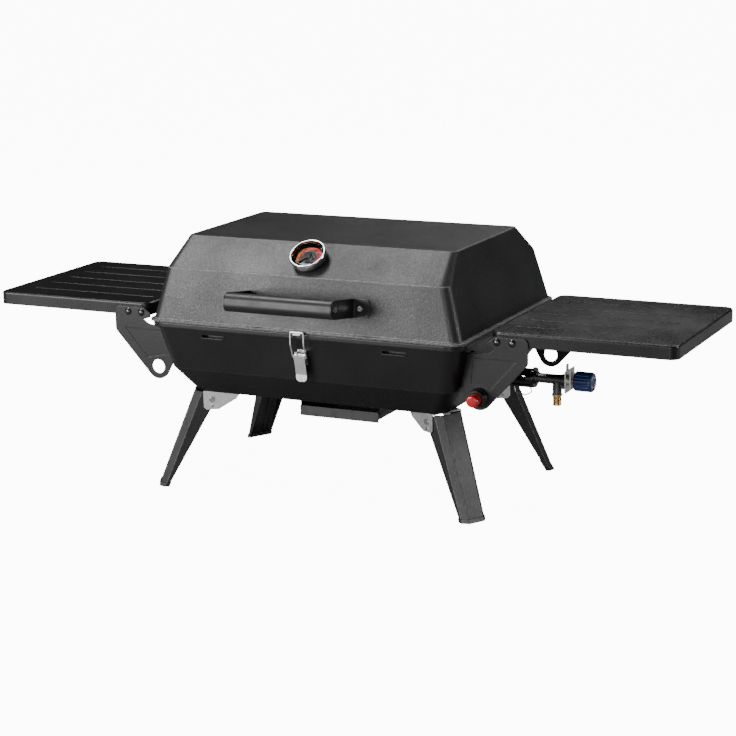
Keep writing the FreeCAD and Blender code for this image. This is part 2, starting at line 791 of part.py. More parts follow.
def bowl_leaf():
    under = bowl_top_z - bowl_band_height - rest_play
    low = under - 26
    outline = [(bowl_wall_y(low), low), (bowl_wall_y(under), under), (rim_half_y + 1, under),
               (rim_half_y + 3.5, under + 6), (hinge_y - 3.5, hinge_z - 3), (hinge_y + 3.5, hinge_z - 3),
               (hinge_y + 2, under + 2), (bowl_wall_y(low) + plate + 0.5, low)]
    knuckle_start = hinge_lid_half_width + side_play
    width = hinge_half_width - knuckle_start
    pieces = []
    for x0 in (-hinge_half_width, knuckle_start):
        pieces.append(prism_yz(outline, x0, width))
        pieces.append(rod((x0, hinge_y, hinge_z), (1, 0, 0), hinge_knuckle_radius, width))
    skin = [(bowl_wall_y(low), low), (bowl_wall_y(under), under), (bowl_wall_y(under) + plate, under),
            (bowl_wall_y(low) + plate, low)]
    pieces.append(prism_yz(skin, -hinge_half_width, 2 * hinge_half_width))
    bore = rod((-hinge_half_width - 1, hinge_y, hinge_z), (1, 0, 0), hinge_pin_radius, 2 * hinge_half_width + 2)
    return fuse(pieces).cut(bore)


def lid_leaf():
    low = lid_floor_z + lid_band_height
    high = low + 26
    outline = [(hinge_y - 4, hinge_z - 1), (hinge_y, hinge_z + 4.5), (lid_half_y(low + 8) + plate, low + 10),
               (lid_half_y(high) + plate, high), (lid_half_y(high), high), (lid_half_y(low + 0.3), low + 0.3),
               (rim_half_y + rest_play, low + 0.3), (rim_half_y + rest_play, hinge_z)]
    w = hinge_lid_half_width
    leaf = prism_yz(outline, -w, 2 * w)
    knuckle = rod((-w, hinge_y, hinge_z), (1, 0, 0), hinge_knuckle_radius, 2 * w)
    bore = rod((-w - 1, hinge_y, hinge_z), (1, 0, 0), hinge_pin_radius + run_fit, 2 * w + 2)
    return fuse([leaf, knuckle]).cut(bore)


def hinge_pin():
    reach = hinge_half_width + 1.5
    return rod((-reach, hinge_y, hinge_z), (1, 0, 0), hinge_pin_radius, 2 * reach)


# ---- Toggle latch at the front ------------------------------------------------------------


def on_latch(shape):
    origin, up, out = bowl_frame(latch_z)
    return placed(shape, origin, (1, 0, 0), up, out)


def latch_point(v, h):
    """A point of the latch's middle plane in the whole grill's axes."""
    origin, up, out = bowl_frame(latch_z)
    return tuple(o + v * a + h * b for o, a, b in zip(origin, up, out))


def make_latch_base():
    foot = box(-7, 7, -16, 8, 0, sheet)
    ears = []
    for side in (-1, 1):
        x0 = side * 6.25 - 0.75
        ears.append(box(x0, x0 + 1.5, -2, 6, 0.5, lever_axis_h))
        ears.append(rod((x0, lever_axis_v, lever_axis_h), (1, 0, 0), 4.0, 1.5))
    bore = rod((-10, lever_axis_v, lever_axis_h), (1, 0, 0), latch_pin_radius + run_fit, 20)
    return on_latch(fuse([foot] + ears).cut(bore))


def make_lever():
    """Pressed lever with two side flanges and a tip that flares away from the bowl."""
    w, t, top = latch_half_width, lever_sheet, 3.0
    web = box(-w, w, -lever_length + 9, top, lever_web_h, lever_web_h + t)
    tip = box(-w, w, -11, 0, 0, t)
    tip = tip.makeFillet(6.5, edges_along(tip, (0, 0, 1), lambda p: p.y < -5))
    tip.rotate(V(0, 0, 0), V(1, 0, 0), -12)
    tip.translate(V(0, -lever_length + 9.2, lever_web_h))
    pieces = [web, tip]
    for side in (-1, 1):
        x0 = side * (w - t / 2) - t / 2
        cheek = prism([(0, top, lever_web_h + t), (0, -14, lever_web_h + t), (0, -10, lever_axis_h + 1),
                       (0, lever_axis_v - 3, lever_axis_h - 2.6), (0, top - 0.5, lever_axis_h)],
                      (x0, 0, 0), (t, 0, 0))
        pieces.append(cheek)
        pieces.append(rod((x0, lever_axis_v, lever_axis_h), (1, 0, 0), 4.0, t))
    lever = fuse(pieces)
    lever = lever.cut(rod((-w - 1, lever_axis_v, lever_axis_h), (1, 0, 0), latch_pin_radius, 2 * w + 2))
    return on_latch(lever.cut(rod((-w - 1, bail_axis_v, bail_axis_h), (1, 0, 0), bail_wire + run_fit, 2 * w + 2)))


def make_latch_pin():
    w = latch_half_width + 0.9
    return on_latch(rod((-w, lever_axis_v, lever_axis_h), (1, 0, 0), latch_pin_radius, 2 * w))


def make_bail():
    """Wire loop: ends in the lever's cheeks, legs up the bowl, bar on the keeper."""
    bar_y = -(rim_half_y + plate + bail_wire + 2 * rest_play + bail_lean)
    bar_z = keeper_top + bail_wire + bail_play
    w = bail_half_width
    pin = latch_point(bail_axis_v, bail_axis_h)
    inner = latch_half_width - lever_sheet - 0.6
    half = [(inner, pin[1], pin[2]), (w, pin[1], pin[2]), (w, bar_y, bar_z - bail_kink), (w, bar_y, bar_z)]
    other = [(-x, y, z) for x, y, z in reversed(half)]
    return wire_rod(half + other, bail_wire, 2 * bail_wire)


# ---- Side tables and their brackets ---------------------------------------------------------


def make_table():
    """Right table: an upturned tray with pressed grooves, holes and stop notches."""
    mid = (table_inner_x + table_outer_x) / 2
    half = table_length / 2
    low = table_top_z - table_skirt

    def rounded(inset, z0, z1):
        body = loft([ring_wire(half - inset, table_half_y - inset, table_corner - inset, z)
                     for z in (z0, z1)])
        return body.translated(V(mid, 0, 0))

    slab = rounded(0, low, table_top_z)
    top = [e for e in slab.Edges if abs(e.BoundBox.ZMin - table_top_z) < 0.01]
    slab = slab.makeFillet(table_edge_round, top)
    slab = slab.cut(rounded(sheet, low - 1, table_top_z - sheet))
    grooves = []
    for i in range(groove_count):
        y = (i - (groove_count - 1) / 2) * groove_pitch
        grooves.append(box(table_inner_x + groove_inner_margin, table_outer_x - groove_outer_margin,
                           y - groove_width / 2, y + groove_width / 2,
                           table_top_z - groove_depth, table_top_z + 1))
    slab = slab.cut(grooves)
    width = bolt_radius + rest_play
    across = 2 * table_half_y + 2
    pivots = rod((pivot_x, -across / 2, bolt_z), (0, 1, 0), bolt_radius + run_fit, across)
    notch = [rod((stop_x, -across / 2, bolt_z), (0, 1, 0), width, across),
             box(stop_x - width - notch_lean, stop_x + width, -across / 2, across / 2, low - 1, bolt_z)]
    return slab.cut([pivots] + notch)


def tangent_point(px, pz, side):
    """Where a line from a point touches the bracket's ring; side picks the edge."""
    dx, dz = px - ring_x, pz - ring_z
    away = math.hypot(dx, dz)
    turn = math.atan2(dz, dx) + side * math.acos(ring_radius / away)
    return ring_x + ring_radius * math.cos(turn), ring_z + ring_radius * math.sin(turn)


def make_bracket():
    """Front right bracket: a flat plate outside the skirt, with a tab on the bowl's end."""
    top, outer = bolt_z + 7.5, stop_x + 24.0
    shoulder = (outer, bolt_z - 30)
    under = bowl_top_z - bowl_band_height - 10
    wall_low, wall_high = ring_z + 12, under
    tail = (bowl_wall_x(wall_low), wall_low)
    outline = [(table_inner_x - 4, bolt_z - 2), (pivot_x - 4, top), (outer, top), shoulder,
               tangent_point(*shoulder, -1), (ring_x, ring_z), tangent_point(*tail, 1), tail,
               (bowl_wall_x(wall_high), wall_high), (table_inner_x - 2, wall_high + 4),
               (pivot_x - 3.5, bolt_z - 11), (table_inner_x - 4, bolt_z - 7)]
    y0 = -bracket_y - plate
    face = prism_xz(outline, y0, plate)
    face = face.makeFillet(8.0, edges_along(face, (0, 1, 0), lambda p: p.x > outer - 0.1))
    disc = rod((ring_x, y0, ring_z), (0, 1, 0), ring_radius, plate)
    tab = prism_xz([tail, (bowl_wall_x(wall_high), wall_high),
                    (bowl_wall_x(wall_high) + plate, wall_high), (tail[0] + plate, wall_low)],
                   y0, plate + bracket_tab)
    bracket = fuse([face, disc, tab])
    dent = [(bowl_wall_x(bolt_z - 26) + 9, bolt_z - 26), (outer - 17, bolt_z - 26),
            (ring_x + 18, ring_z + 13), (ring_x - 13, ring_z + 19)]
    bracket = bracket.cut(prism_xz(dent, y0, emboss_depth))
    holes = [rod((ring_x, y0 - 1, ring_z), (0, 1, 0), ring_hole_radius, plate + 2)]
    for x in (pivot_x, stop_x):
        holes.append(rod((x, y0 - 1, bolt_z), (0, 1, 0), bolt_radius, plate + 2))
    return bracket.cut(holes)


def bracket_rivets():
    rivets = []
    out = (bowl_crease_drop, 0, -bowl_crease_inset)
    slope = math.atan2(bowl_crease_inset, bowl_crease_drop)
    for z in (ring_z + 22, ring_z + 47):
        spot = (bowl_wall_x(z) + plate / math.cos(slope) ** 2, -bracket_y + bracket_tab * 0.55, z)
        rivets.append(rivet(spot, out, plate + sheet + 1.5))
    return rivets


def four_corners(shape):
    """The front right shape and its copies at front left, rear right and rear left."""
    back = mirrored(shape, "y")
    return {"front_right": shape, "front_left": mirrored(shape, "x"),
            "rear_right": back, "rear_left": mirrored(back, "x")}


def make_bolt(x):
    """Dome-headed bolt through bracket and skirt, and its nut inside the table."""
    y0 = -bracket_y - plate
    head_dome = (bolt_head_radius**2 + bolt_head_height**2) / (2 * bolt_head_height)
    ball = Part.makeSphere(head_dome, V(x, y0 - bolt_head_height + head_dome, bolt_z))
    head = ball.common(rod((x, y0, bolt_z), (0, -1, 0), bolt_head_radius + 1, bolt_head_height + 1))
    shank = rod((x, y0, bolt_z), (0, 1, 0), bolt_radius, nut_y + nut_height + 1 - y0)
    return fuse([head, shank])


def make_nut(x):
    nut = prism_xz(hexagon(x, bolt_z, nut_radius), nut_y, nut_height)
    return nut.cut(rod((x, nut_y - 1, bolt_z), (0, 1, 0), bolt_radius, nut_height + 2))


def group(shapes):
    return Part.makeCompound(shapes)


# ---- Folding legs ----------------------------------------------------------------------------


def leg_axes(sx, sy):
    """Pivot, and the leg's own axes: outward along its splay, sideways, up."""
    a = math.radians(leg_turn_deg)
    out = (sx * math.cos(a), sy * math.sin(a), 0)
    side = (-out[1], out[0], 0)
    return (sx * leg_pivot_x, sy * leg_pivot_y, leg_pivot_z), out, side, (0, 0, 1)


def leg_section(z, grow, hollow):
    """Corners of the leg's outline at a height above its pivot: a flat web, two
    45 degree chamfers and two side flanges that get shallower towards the foot."""
    top, foot = leg_top, foot_cap_floor - leg_pivot_z
    part = (top - z) / (top - foot)
    web = leg_web_half_top + (leg_web_half_foot - leg_web_half_top) * part
    chamfer = leg_chamfer_top + (leg_chamfer_foot - leg_chamfer_top) * part
    slope = math.tan(math.radians(leg_splay_deg))
    outer = leg_web_reach - z * slope
    inner_foot = leg_web_reach - foot * slope - leg_chamfer_foot - leg_flange_foot
    inner_top = -leg_ear_radius - 4
    inner = inner_top + (inner_foot - inner_top) * part
    half = web + chamfer
    side = [(inner - grow, half + grow), (outer - chamfer + 0.4 * grow, half + grow),
            (outer + grow, web + 0.4 * grow)]
    points = side + [(n, -w) for n, w in reversed(side)]
    if hollow:
        t, bend = leg_sheet, leg_sheet * math.tan(math.radians(22.5))
        back = [(inner, half - t), (outer - chamfer - bend, half - t), (outer - t, web - bend)]
        points += [(n, -w) for n, w in back] + [(n, w) for n, w in reversed(back)]
    return [V(n, w, z) for n, w in points]


def tapered(low, high):
    """Solid between two matching outlines whose sides stay parallel."""
    faces = [Part.Face(Part.makePolygon(ring + ring[:1])) for ring in (low, high)]
    for i in range(len(low)):
        quad = [low[i - 1], low[i], high[i], high[i - 1]]
        faces.append(Part.Face(Part.makePolygon(quad + quad[:1])))
    solid = Part.Solid(Part.Shell(faces))
    if solid.Volume < 0:
        solid.reverse()
    return solid


def make_leg():
    """Pressed channel in its own axes, with rounded ears at the pivot."""
    body = tapered(leg_section(foot_cap_floor - leg_pivot_z, 0, True), leg_section(leg_top, 0, True))
    wide = 2 * leg_half_width + 4
    corner = box(-30, 0, -wide / 2, wide / 2, 0, 30)
    corner = corner.cut(rod((0, -wide / 2, 0), (0, 1, 0), leg_ear_radius, wide))
    roof = box(-30, leg_roof_reach + 1.5, -wide / 2, wide / 2, leg_ear_radius, 30)
    hole = rod((0, -wide / 2, 0), (0, 1, 0), leg_pin_radius + run_fit, wide)
    return body.cut([corner, roof, hole])


def make_foot_cap():
    low = -leg_pivot_z
    high = low + foot_cap_height
    block = tapered(leg_section(low, foot_cap_wall, False), leg_section(high, foot_cap_wall, False))
    return block.cut(make_leg())


def leg_bracket():
    """Zinc channel under the bowl's floor: a top plate and two cheeks beside the leg."""
    roof = leg_pivot_drop
    edge = leg_roof_reach
    cheek = [(edge, roof), (edge, -12), (edge - 4, -16), (-10, -16), (-38, 0), (-42, 6), (-42, roof)]
    pieces = []
    for side in (-1, 1):
        y0 = cheek_y if side > 0 else -cheek_y - plate
        pieces.append(prism_xz(cheek, y0, plate))
    pieces.append(box(-42, edge, -cheek_y - plate, cheek_y + plate, roof - plate, roof))
    body = fuse(pieces)
    return body.cut(rod((0, -60, 0), (0, 1, 0), leg_pin_radius, 120))


def leg_pins():
    """Pivot pin across the cheeks, and the stud that the leg's inner edge stops on."""
    reach = cheek_y + plate
    pivot = rod((0, -reach - 1.5, 0), (0, 1, 0), leg_pin_radius, 2 * reach + 3)
    heads = [rod((0, s * (reach + 1.5) - 0.75, 0), (0, 1, 0), leg_pin_radius + 1.6, 1.5) for s in (-1, 1)]
    studs = [rod((0, s * (reach + 0.6) - 0.6, -10.5), (0, 1, 0), 2.4, 1.2) for s in (-1, 1)]
    return [fuse([pivot] + heads)] + studs


def leg_rivets():
    spots = [(-30, y, leg_pivot_drop - plate) for y in (-14, 14)]
    return [rivet(s, (0, 0, -1), plate + sheet + 1.5) for s in spots]


# ---- Drip tray ---------------------------------------------------------------------------------


def make_tray():
    low = tray_top_z - tray_depth
    t = tray_sheet
    tub = box(-tray_half_x, tray_half_x, -tray_half_y, tray_half_y, low, tray_top_z)
    tub = tub.cut(box(-tray_half_x + t, tray_half_x - t, -tray_half_y + t, tray_half_y - t, low + t, 999))
    edge = tray_half_x + tray_lip
    lips = [box(s * (edge + tray_half_x - t) / 2 - (tray_lip + t) / 2,
                s * (edge + tray_half_x - t) / 2 + (tray_lip + t) / 2,
                -tray_half_y, tray_half_y, tray_top_z - t, tray_top_z) for s in (-1, 1)]
    front = box(-edge, edge, -tray_half_y - t, -tray_half_y, low, tray_top_z + tray_front_rise)
    return fuse([tub, front] + lips)


def make_rails():
    """Two hangers of folded sheet that the tray's lips slide in."""
    t = tray_sheet
    inner = tray_half_x + tray_lip + side_play
    y0 = -rail_length / 2
    ledge_z = tray_top_z - t - rest_play - t
    outline = [(inner, ledge_z), (inner + t, ledge_z), (inner + t, bowl_floor_z), (inner - 12, bowl_floor_z),
               (inner - 12, bowl_floor_z - t), (inner, bowl_floor_z - t), (inner, ledge_z + t),
               (tray_half_x + rest_play, ledge_z + t), (tray_half_x + rest_play, ledge_z)]
    rail = prism_xz(outline, y0, rail_length)
    return [rail, mirrored(rail, "x")]


def rail_rivets():
    x = tray_half_x + tray_lip - 6
    spots = [(sx * x, y, bowl_floor_z - tray_sheet) for sx in (-1, 1) for y in (-40, 40)]
    return [rivet(s, (0, 0, -1), tray_sheet + sheet + 1.5) for s in spots]


# ---- Put the grill together ----------------------------------------------------------------------


def build():
    parts = {}
    rivets = []

    brackets = four_corners(make_bracket())
    for name, rivet_one in [(n, r) for r in bracket_rivets() for n, r in four_corners(r).items()]:
        brackets[name] = brackets[name].cut(rivet_one)
        rivets.append(rivet_one)
    for name, shape in brackets.items():
        parts["table_bracket_" + name] = shape

    pins = []
    corners = {"front_right": (1, -1), "front_left": (-1, -1), "rear_right": (1, 1), "rear_left": (-1, 1)}
    for name, (sx, sy) in corners.items():
        axes = leg_axes(sx, sy)
        own_rivets = leg_rivets()
        holder = leg_bracket().cut(own_rivets)
        parts["leg_bracket_" + name] = placed(holder, *axes)
        parts["leg_" + name] = placed(make_leg(), *axes)
        parts["foot_cap_" + name] = placed(make_foot_cap(), *axes)
        pins += [placed(p, *axes) for p in leg_pins()]
        rivets += [placed(r, *axes) for r in own_rivets]
    parts["leg_pins"] = group(pins)

    rails = make_rails()
    own_rivets = rail_rivets()
    rails = [r.cut(own_rivets) for r in rails]
    rivets += own_rivets
    parts["tray_rails"] = group(rails)
    parts["drip_tray"] = make_tray()

    latch_rivet = on_latch(rivet((0, -11, sheet), (0, 0, 1), 2 * sheet + 1.5))
    parts["latch_base"] = make_latch_base().cut(latch_rivet)
    rivets.append(latch_rivet)

    leaf = hinge_sets(bowl_leaf)
    back_rivets = []
    slope = math.atan2(bowl_crease_inset, bowl_crease_drop)
    spot_z = bowl_top_z - bowl_band_height - 18
    for x in (-hinge_x, hinge_x):
        spot = (x, bowl_wall_y(spot_z) + plate / math.cos(slope) ** 2, spot_z)
        back_rivets.append(rivet(spot, (0, bowl_crease_drop, -bowl_crease_inset), plate + sheet + 1.5))
    parts["hinge_leaves_bowl"] = leaf.cut(back_rivets)
    parts["hinge_pins"] = hinge_sets(hinge_pin)
    rivets += back_rivets

    parts["bowl_shell"] = make_bowl().cut(rivets)
    parts["bowl_rivets"] = group(rivets)
    parts["grate_ledges"] = make_ledges()
    parts["cooking_grate"] = make_grate()
    parts["heat_plate"] = make_heat_plate()
    parts["burner_tube"] = make_burner()
    parts["burner_foot"] = make_burner_foot()
    parts["wire_clip"] = make_wire_clip()
    parts["air_shroud"] = make_shroud().cut(parts["wire_clip"])
    parts["jet_holder"] = make_jet_holder()
    parts["valve_body"] = make_valve()
    parts["gas_inlet_nipple"] = make_nipple()
    parts["valve_clip"] = make_valve_clip()
    parts["valve_stem"] = make_stem()
    parts["valve_knob"] = make_knob()
    parts["igniter_body"] = make_igniter_body()
    parts["igniter_nut"] = make_igniter_nut()
    parts["igniter_button"] = make_button()
    parts["igniter_electrode"] = make_electrode()

    bolts, nuts = [], []
    for x in (pivot_x, stop_x):
        bolts += four_corners(make_bolt(x)).values()
        nuts += four_corners(make_nut(x)).values()
    parts["table_bolts"] = group(bolts)
    parts["table_nuts"] = group(nuts)
    parts["side_table_right"] = make_table()
    parts["side_table_left"] = mirrored(make_table(), "x")

    screws = handle_screw_list()
    parts["handle_screws"] = group(screws)
    parts["handle_grip"] = make_grip().cut(screws)
    parts["handle_straps"] = group([handle_strap(s).cut(screws) for s in (-1, 1)])
    gauge = make_gauge_body()
    lid_rivet_z = lid_floor_z + lid_band_height + 19
    slope = math.atan2(wall_half_y - lid_crease_half_y, lid_crease_height)
    lid_rivets = []
    for x in (-hinge_x, hinge_x):
        spot = (x, lid_half_y(lid_rivet_z) + plate, lid_rivet_z)
        lid_rivets.append(rivet(spot, (0, math.cos(slope), math.sin(slope)), plate + sheet + 1.5))
    parts["lid_shell"] = make_lid().cut(screws + [gauge] + lid_rivets)
    parts["lid_rivets"] = group(lid_rivets)
    parts["hinge_leaves_lid"] = hinge_sets(lid_leaf).cut(lid_rivets)
    parts["latch_keeper"] = make_keeper()
    parts["thermometer_body"] = gauge
    parts["thermometer_bezel"] = make_gauge_bezel()
    parts["thermometer_dial"] = make_gauge_dial()
    parts["thermometer_glass"] = make_gauge_glass()
    parts["thermometer_pointer"] = make_pointer()

    parts["latch_lever"] = make_lever()
    parts["latch_pin"] = make_latch_pin()
    parts["latch_bail"] = make_bail()
    return parts


def depth_shift(parts):
    """Y move that puts the middle of the grill's depth over the origin."""
    low = min(s.BoundBox.YMin for s in parts.values())
    high = max(s.BoundBox.YMax for s in parts.values())
    return -(low + high) / 2


def main():
    os.makedirs("parts", exist_ok=True)
    parts = build()
    shift = depth_shift(parts)
    for name, shape in parts.items():
        shape.translate(V(0, shift, 0))
        shape.exportStep("parts/" + name + ".step")
        box_size = shape.BoundBox
        print(name, len(shape.Solids), "solids", round(shape.Volume), "mm3",
              "valid" if shape.isValid() else "INVALID",
              [round(v, 1) for v in (box_size.XMin, box_size.XMax, box_size.YMin, box_size.YMax,
                                     box_size.ZMin, box_size.ZMax)])
    print(len(parts), "nodes, depth shift", round(shift, 3))
    return parts, shift


parts, shift = main()
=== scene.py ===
# %% [markdown]
# # A portable gas barbecue
# The grill is a pressed steel bowl and lid, coated in textured black powder, with two side
# tables, four folding legs and a gas valve on the right. The engineering model gives every
# part its size and place. This script gives each part its finish, and makes the pieces whose
# look depends on fine shape: the gauge, the knob, the buttons, the thread and the bezel.

# %% Load the frame
import json
import math
import bmesh
import bpy
import numpy as np
from mathutils import Matrix, Vector


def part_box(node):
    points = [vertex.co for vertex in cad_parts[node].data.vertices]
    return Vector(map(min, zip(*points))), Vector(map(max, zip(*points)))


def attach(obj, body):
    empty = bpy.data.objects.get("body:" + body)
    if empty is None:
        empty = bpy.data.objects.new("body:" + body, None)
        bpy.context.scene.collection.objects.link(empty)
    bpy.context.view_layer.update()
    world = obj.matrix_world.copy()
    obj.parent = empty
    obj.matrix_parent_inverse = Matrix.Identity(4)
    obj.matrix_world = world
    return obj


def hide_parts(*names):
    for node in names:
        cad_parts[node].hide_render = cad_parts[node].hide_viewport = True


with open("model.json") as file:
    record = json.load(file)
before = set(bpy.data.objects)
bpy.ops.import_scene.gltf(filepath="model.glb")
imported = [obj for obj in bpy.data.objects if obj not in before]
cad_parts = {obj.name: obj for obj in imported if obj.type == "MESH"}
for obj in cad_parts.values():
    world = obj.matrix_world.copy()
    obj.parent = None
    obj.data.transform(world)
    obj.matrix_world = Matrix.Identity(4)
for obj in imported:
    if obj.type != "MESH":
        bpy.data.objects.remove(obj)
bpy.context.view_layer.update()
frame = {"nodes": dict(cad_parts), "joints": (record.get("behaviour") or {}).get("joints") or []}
joints = {joint["name"]: joint for joint in frame["joints"]}
nodes = frame["nodes"]
MM = 0.001

# %% [markdown]
# ## Camera
# A long lens flattens the perspective, as in a product picture. The camera turns about a
# point near the middle of the bowl, so its place is that point plus a distance along the
# direction back to the viewer. A slight roll keeps the picture's own tilt.

# %% Camera
LENS_PER_WIDTH = 2.7956
CAMERA_AZIMUTH, CAMERA_ELEVATION, CAMERA_ROLL = 25.556, 13.283, -0.971
CAMERA_DISTANCE = 3.1335
CAMERA_TARGET = Vector((0.0529, -0.0405, 0.1934))


def make_camera():
    """Eye = target + distance * (sin a cos e, -cos a cos e, sin e), rolled about its own axis."""
    a, e = math.radians(CAMERA_AZIMUTH), math.radians(CAMERA_ELEVATION)
    back = Vector((math.sin(a) * math.cos(e), -math.cos(a) * math.cos(e), math.sin(e)))
    data = bpy.data.cameras.new("camera")
    data.sensor_width = 36
    data.lens = LENS_PER_WIDTH * data.sensor_width
    data.clip_end = 50
    camera = bpy.data.objects.new("camera", data)
    camera.rotation_mode = "QUATERNION"
    roll = Matrix.Rotation(math.radians(CAMERA_ROLL), 3, "Z")
    camera.rotation_quaternion = (back.to_track_quat("Z", "Y").to_matrix() @ roll).to_quaternion()
    camera.location = CAMERA_TARGET + back * CAMERA_DISTANCE
    bpy.context.scene.collection.objects.link(camera)
    bpy.context.scene.camera = camera
    return camera


camera = make_camera()
print("camera at", [round(v, 3) for v in camera.location], "lens", round(camera.data.lens, 1))

# %% [markdown]
# ## Floor and light
# Black paint has almost no colour of its own, so its shape is drawn by what it reflects. One
# large soft panel stands in front on the left and lights the lid's two front panels. A
# square one above on the left lights the faces that look up, a narrow one far to the right
# lights the right end, and a small one low in front on the right lifts the dark side. The
# last one washes the floor behind. The room is dim, and the floor and the backdrop look
# bright only because both glow for the camera alone.

# %% Floor
FLOOR_HALF = 14.0
FLOOR_GLOW = 11.5
FLOOR_SHADE = 0.30


def make_floor():
    """A flat square at height zero. It glows for the camera's own rays and lights nothing."""
    mesh = bpy.data.meshes.new("floor")
    s = FLOOR_HALF
    mesh.from_pydata([(-s, -s, 0), (s, -s, 0), (s, s, 0), (-s, s, 0)], [], [(0, 1, 2, 3)])
    floor = bpy.data.objects.new("floor", mesh)
    bpy.context.scene.collection.objects.link(floor)
    material = bpy.data.materials.new("pale_floor")
    material.use_nodes = True
    shader = material.node_tree.nodes["Principled BSDF"]
    shader.inputs["Base Color"].default_value = (FLOOR_SHADE, FLOOR_SHADE, FLOOR_SHADE, 1)
    shader.inputs["Roughness"].default_value = 0.9
    shader.inputs["Specular IOR Level"].default_value = 0.1
    shader.inputs["Emission Color"].default_value = (1, 1, 1, 1)
    path = material.node_tree.nodes.new("ShaderNodeLightPath")
    glow = material.node_tree.nodes.new("ShaderNodeMath")
    glow.operation = "MULTIPLY"
    glow.inputs[1].default_value = FLOOR_GLOW
    material.node_tree.links.new(path.outputs["Is Camera Ray"], glow.inputs[0])
    material.node_tree.links.new(glow.outputs[0], shader.inputs["Emission Strength"])
    mesh.materials.append(material)
    return floor


make_floor()
print("floor", 2 * FLOOR_HALF, "m wide")

# %% Lights


def area_light(name, place, aim, size, power):
    """A rectangular soft white light at a place, facing an aim point."""
    data = bpy.data.lights.new(name, "AREA")
    data.shape = "RECTANGLE"
    data.size, data.size_y = size
    data.energy = power
    light = bpy.data.objects.new(name, data)
    light.location = place
    light.rotation_euler = (Vector(place) - Vector(aim)).to_track_quat("Z", "Y").to_euler()
    bpy.context.scene.collection.objects.link(light)
    return light


def make_room(backdrop, ambient):
    """Bright where the camera sees the backdrop itself, dim for all other light."""
    world = bpy.data.worlds.new("room")
    world.use_nodes = True
    tree = world.node_tree
    tree.nodes.clear()
    out = tree.nodes.new("ShaderNodeOutputWorld")
    mix = tree.nodes.new("ShaderNodeMixShader")
    path = tree.nodes.new("ShaderNodeLightPath")
    for i, strength in enumerate((ambient, backdrop)):
        shade = tree.nodes.new("ShaderNodeBackground")
        shade.inputs["Color"].default_value = (1, 1, 1, 1)
        shade.inputs["Strength"].default_value = strength
        tree.links.new(shade.outputs[0], mix.inputs[i + 1])
    tree.links.new(path.outputs["Is Camera Ray"], mix.inputs[0])
    tree.links.new(mix.outputs[0], out.inputs[0])
    bpy.context.scene.world = world


make_room(backdrop=12.0, ambient=0.03)
MIDDLE = (0.0, 0.0, 0.25)
area_light("front_panel", (-2.1, -3.3, 0.95), MIDDLE, (2.0, 1.5), 190)
area_light("top_panel", (-1.3, -0.2, 3.0), MIDDLE, (1.0, 1.0), 75)
area_light("corner_strip", (3.0, 0.6, 1.0), MIDDLE, (0.4, 1.8), 40)
area_light("right_fill", (0.9, -3.6, 0.5), MIDDLE, (0.7, 0.9), 35)
area_light("floor_wash", (0.4, 2.6, 2.6), (0, 1.5, 0), (3.0, 1.0), 60)

# %% [markdown]
# ## Finishes
# A finish is a small graph of shader nodes on the object's own coordinates. Each recipe
# below is one function: it mixes two close shades by noise, lets the roughness drift over
# the surface, and adds a fine bump. The Bevel node rounds the look of sharp CAD edges, and
# comparing its normal with the true one finds the edges, where a lighter colour is a
# painted highlight.

# %% Shader helpers
EDGE_START, EDGE_FULL = 0.996, 0.93


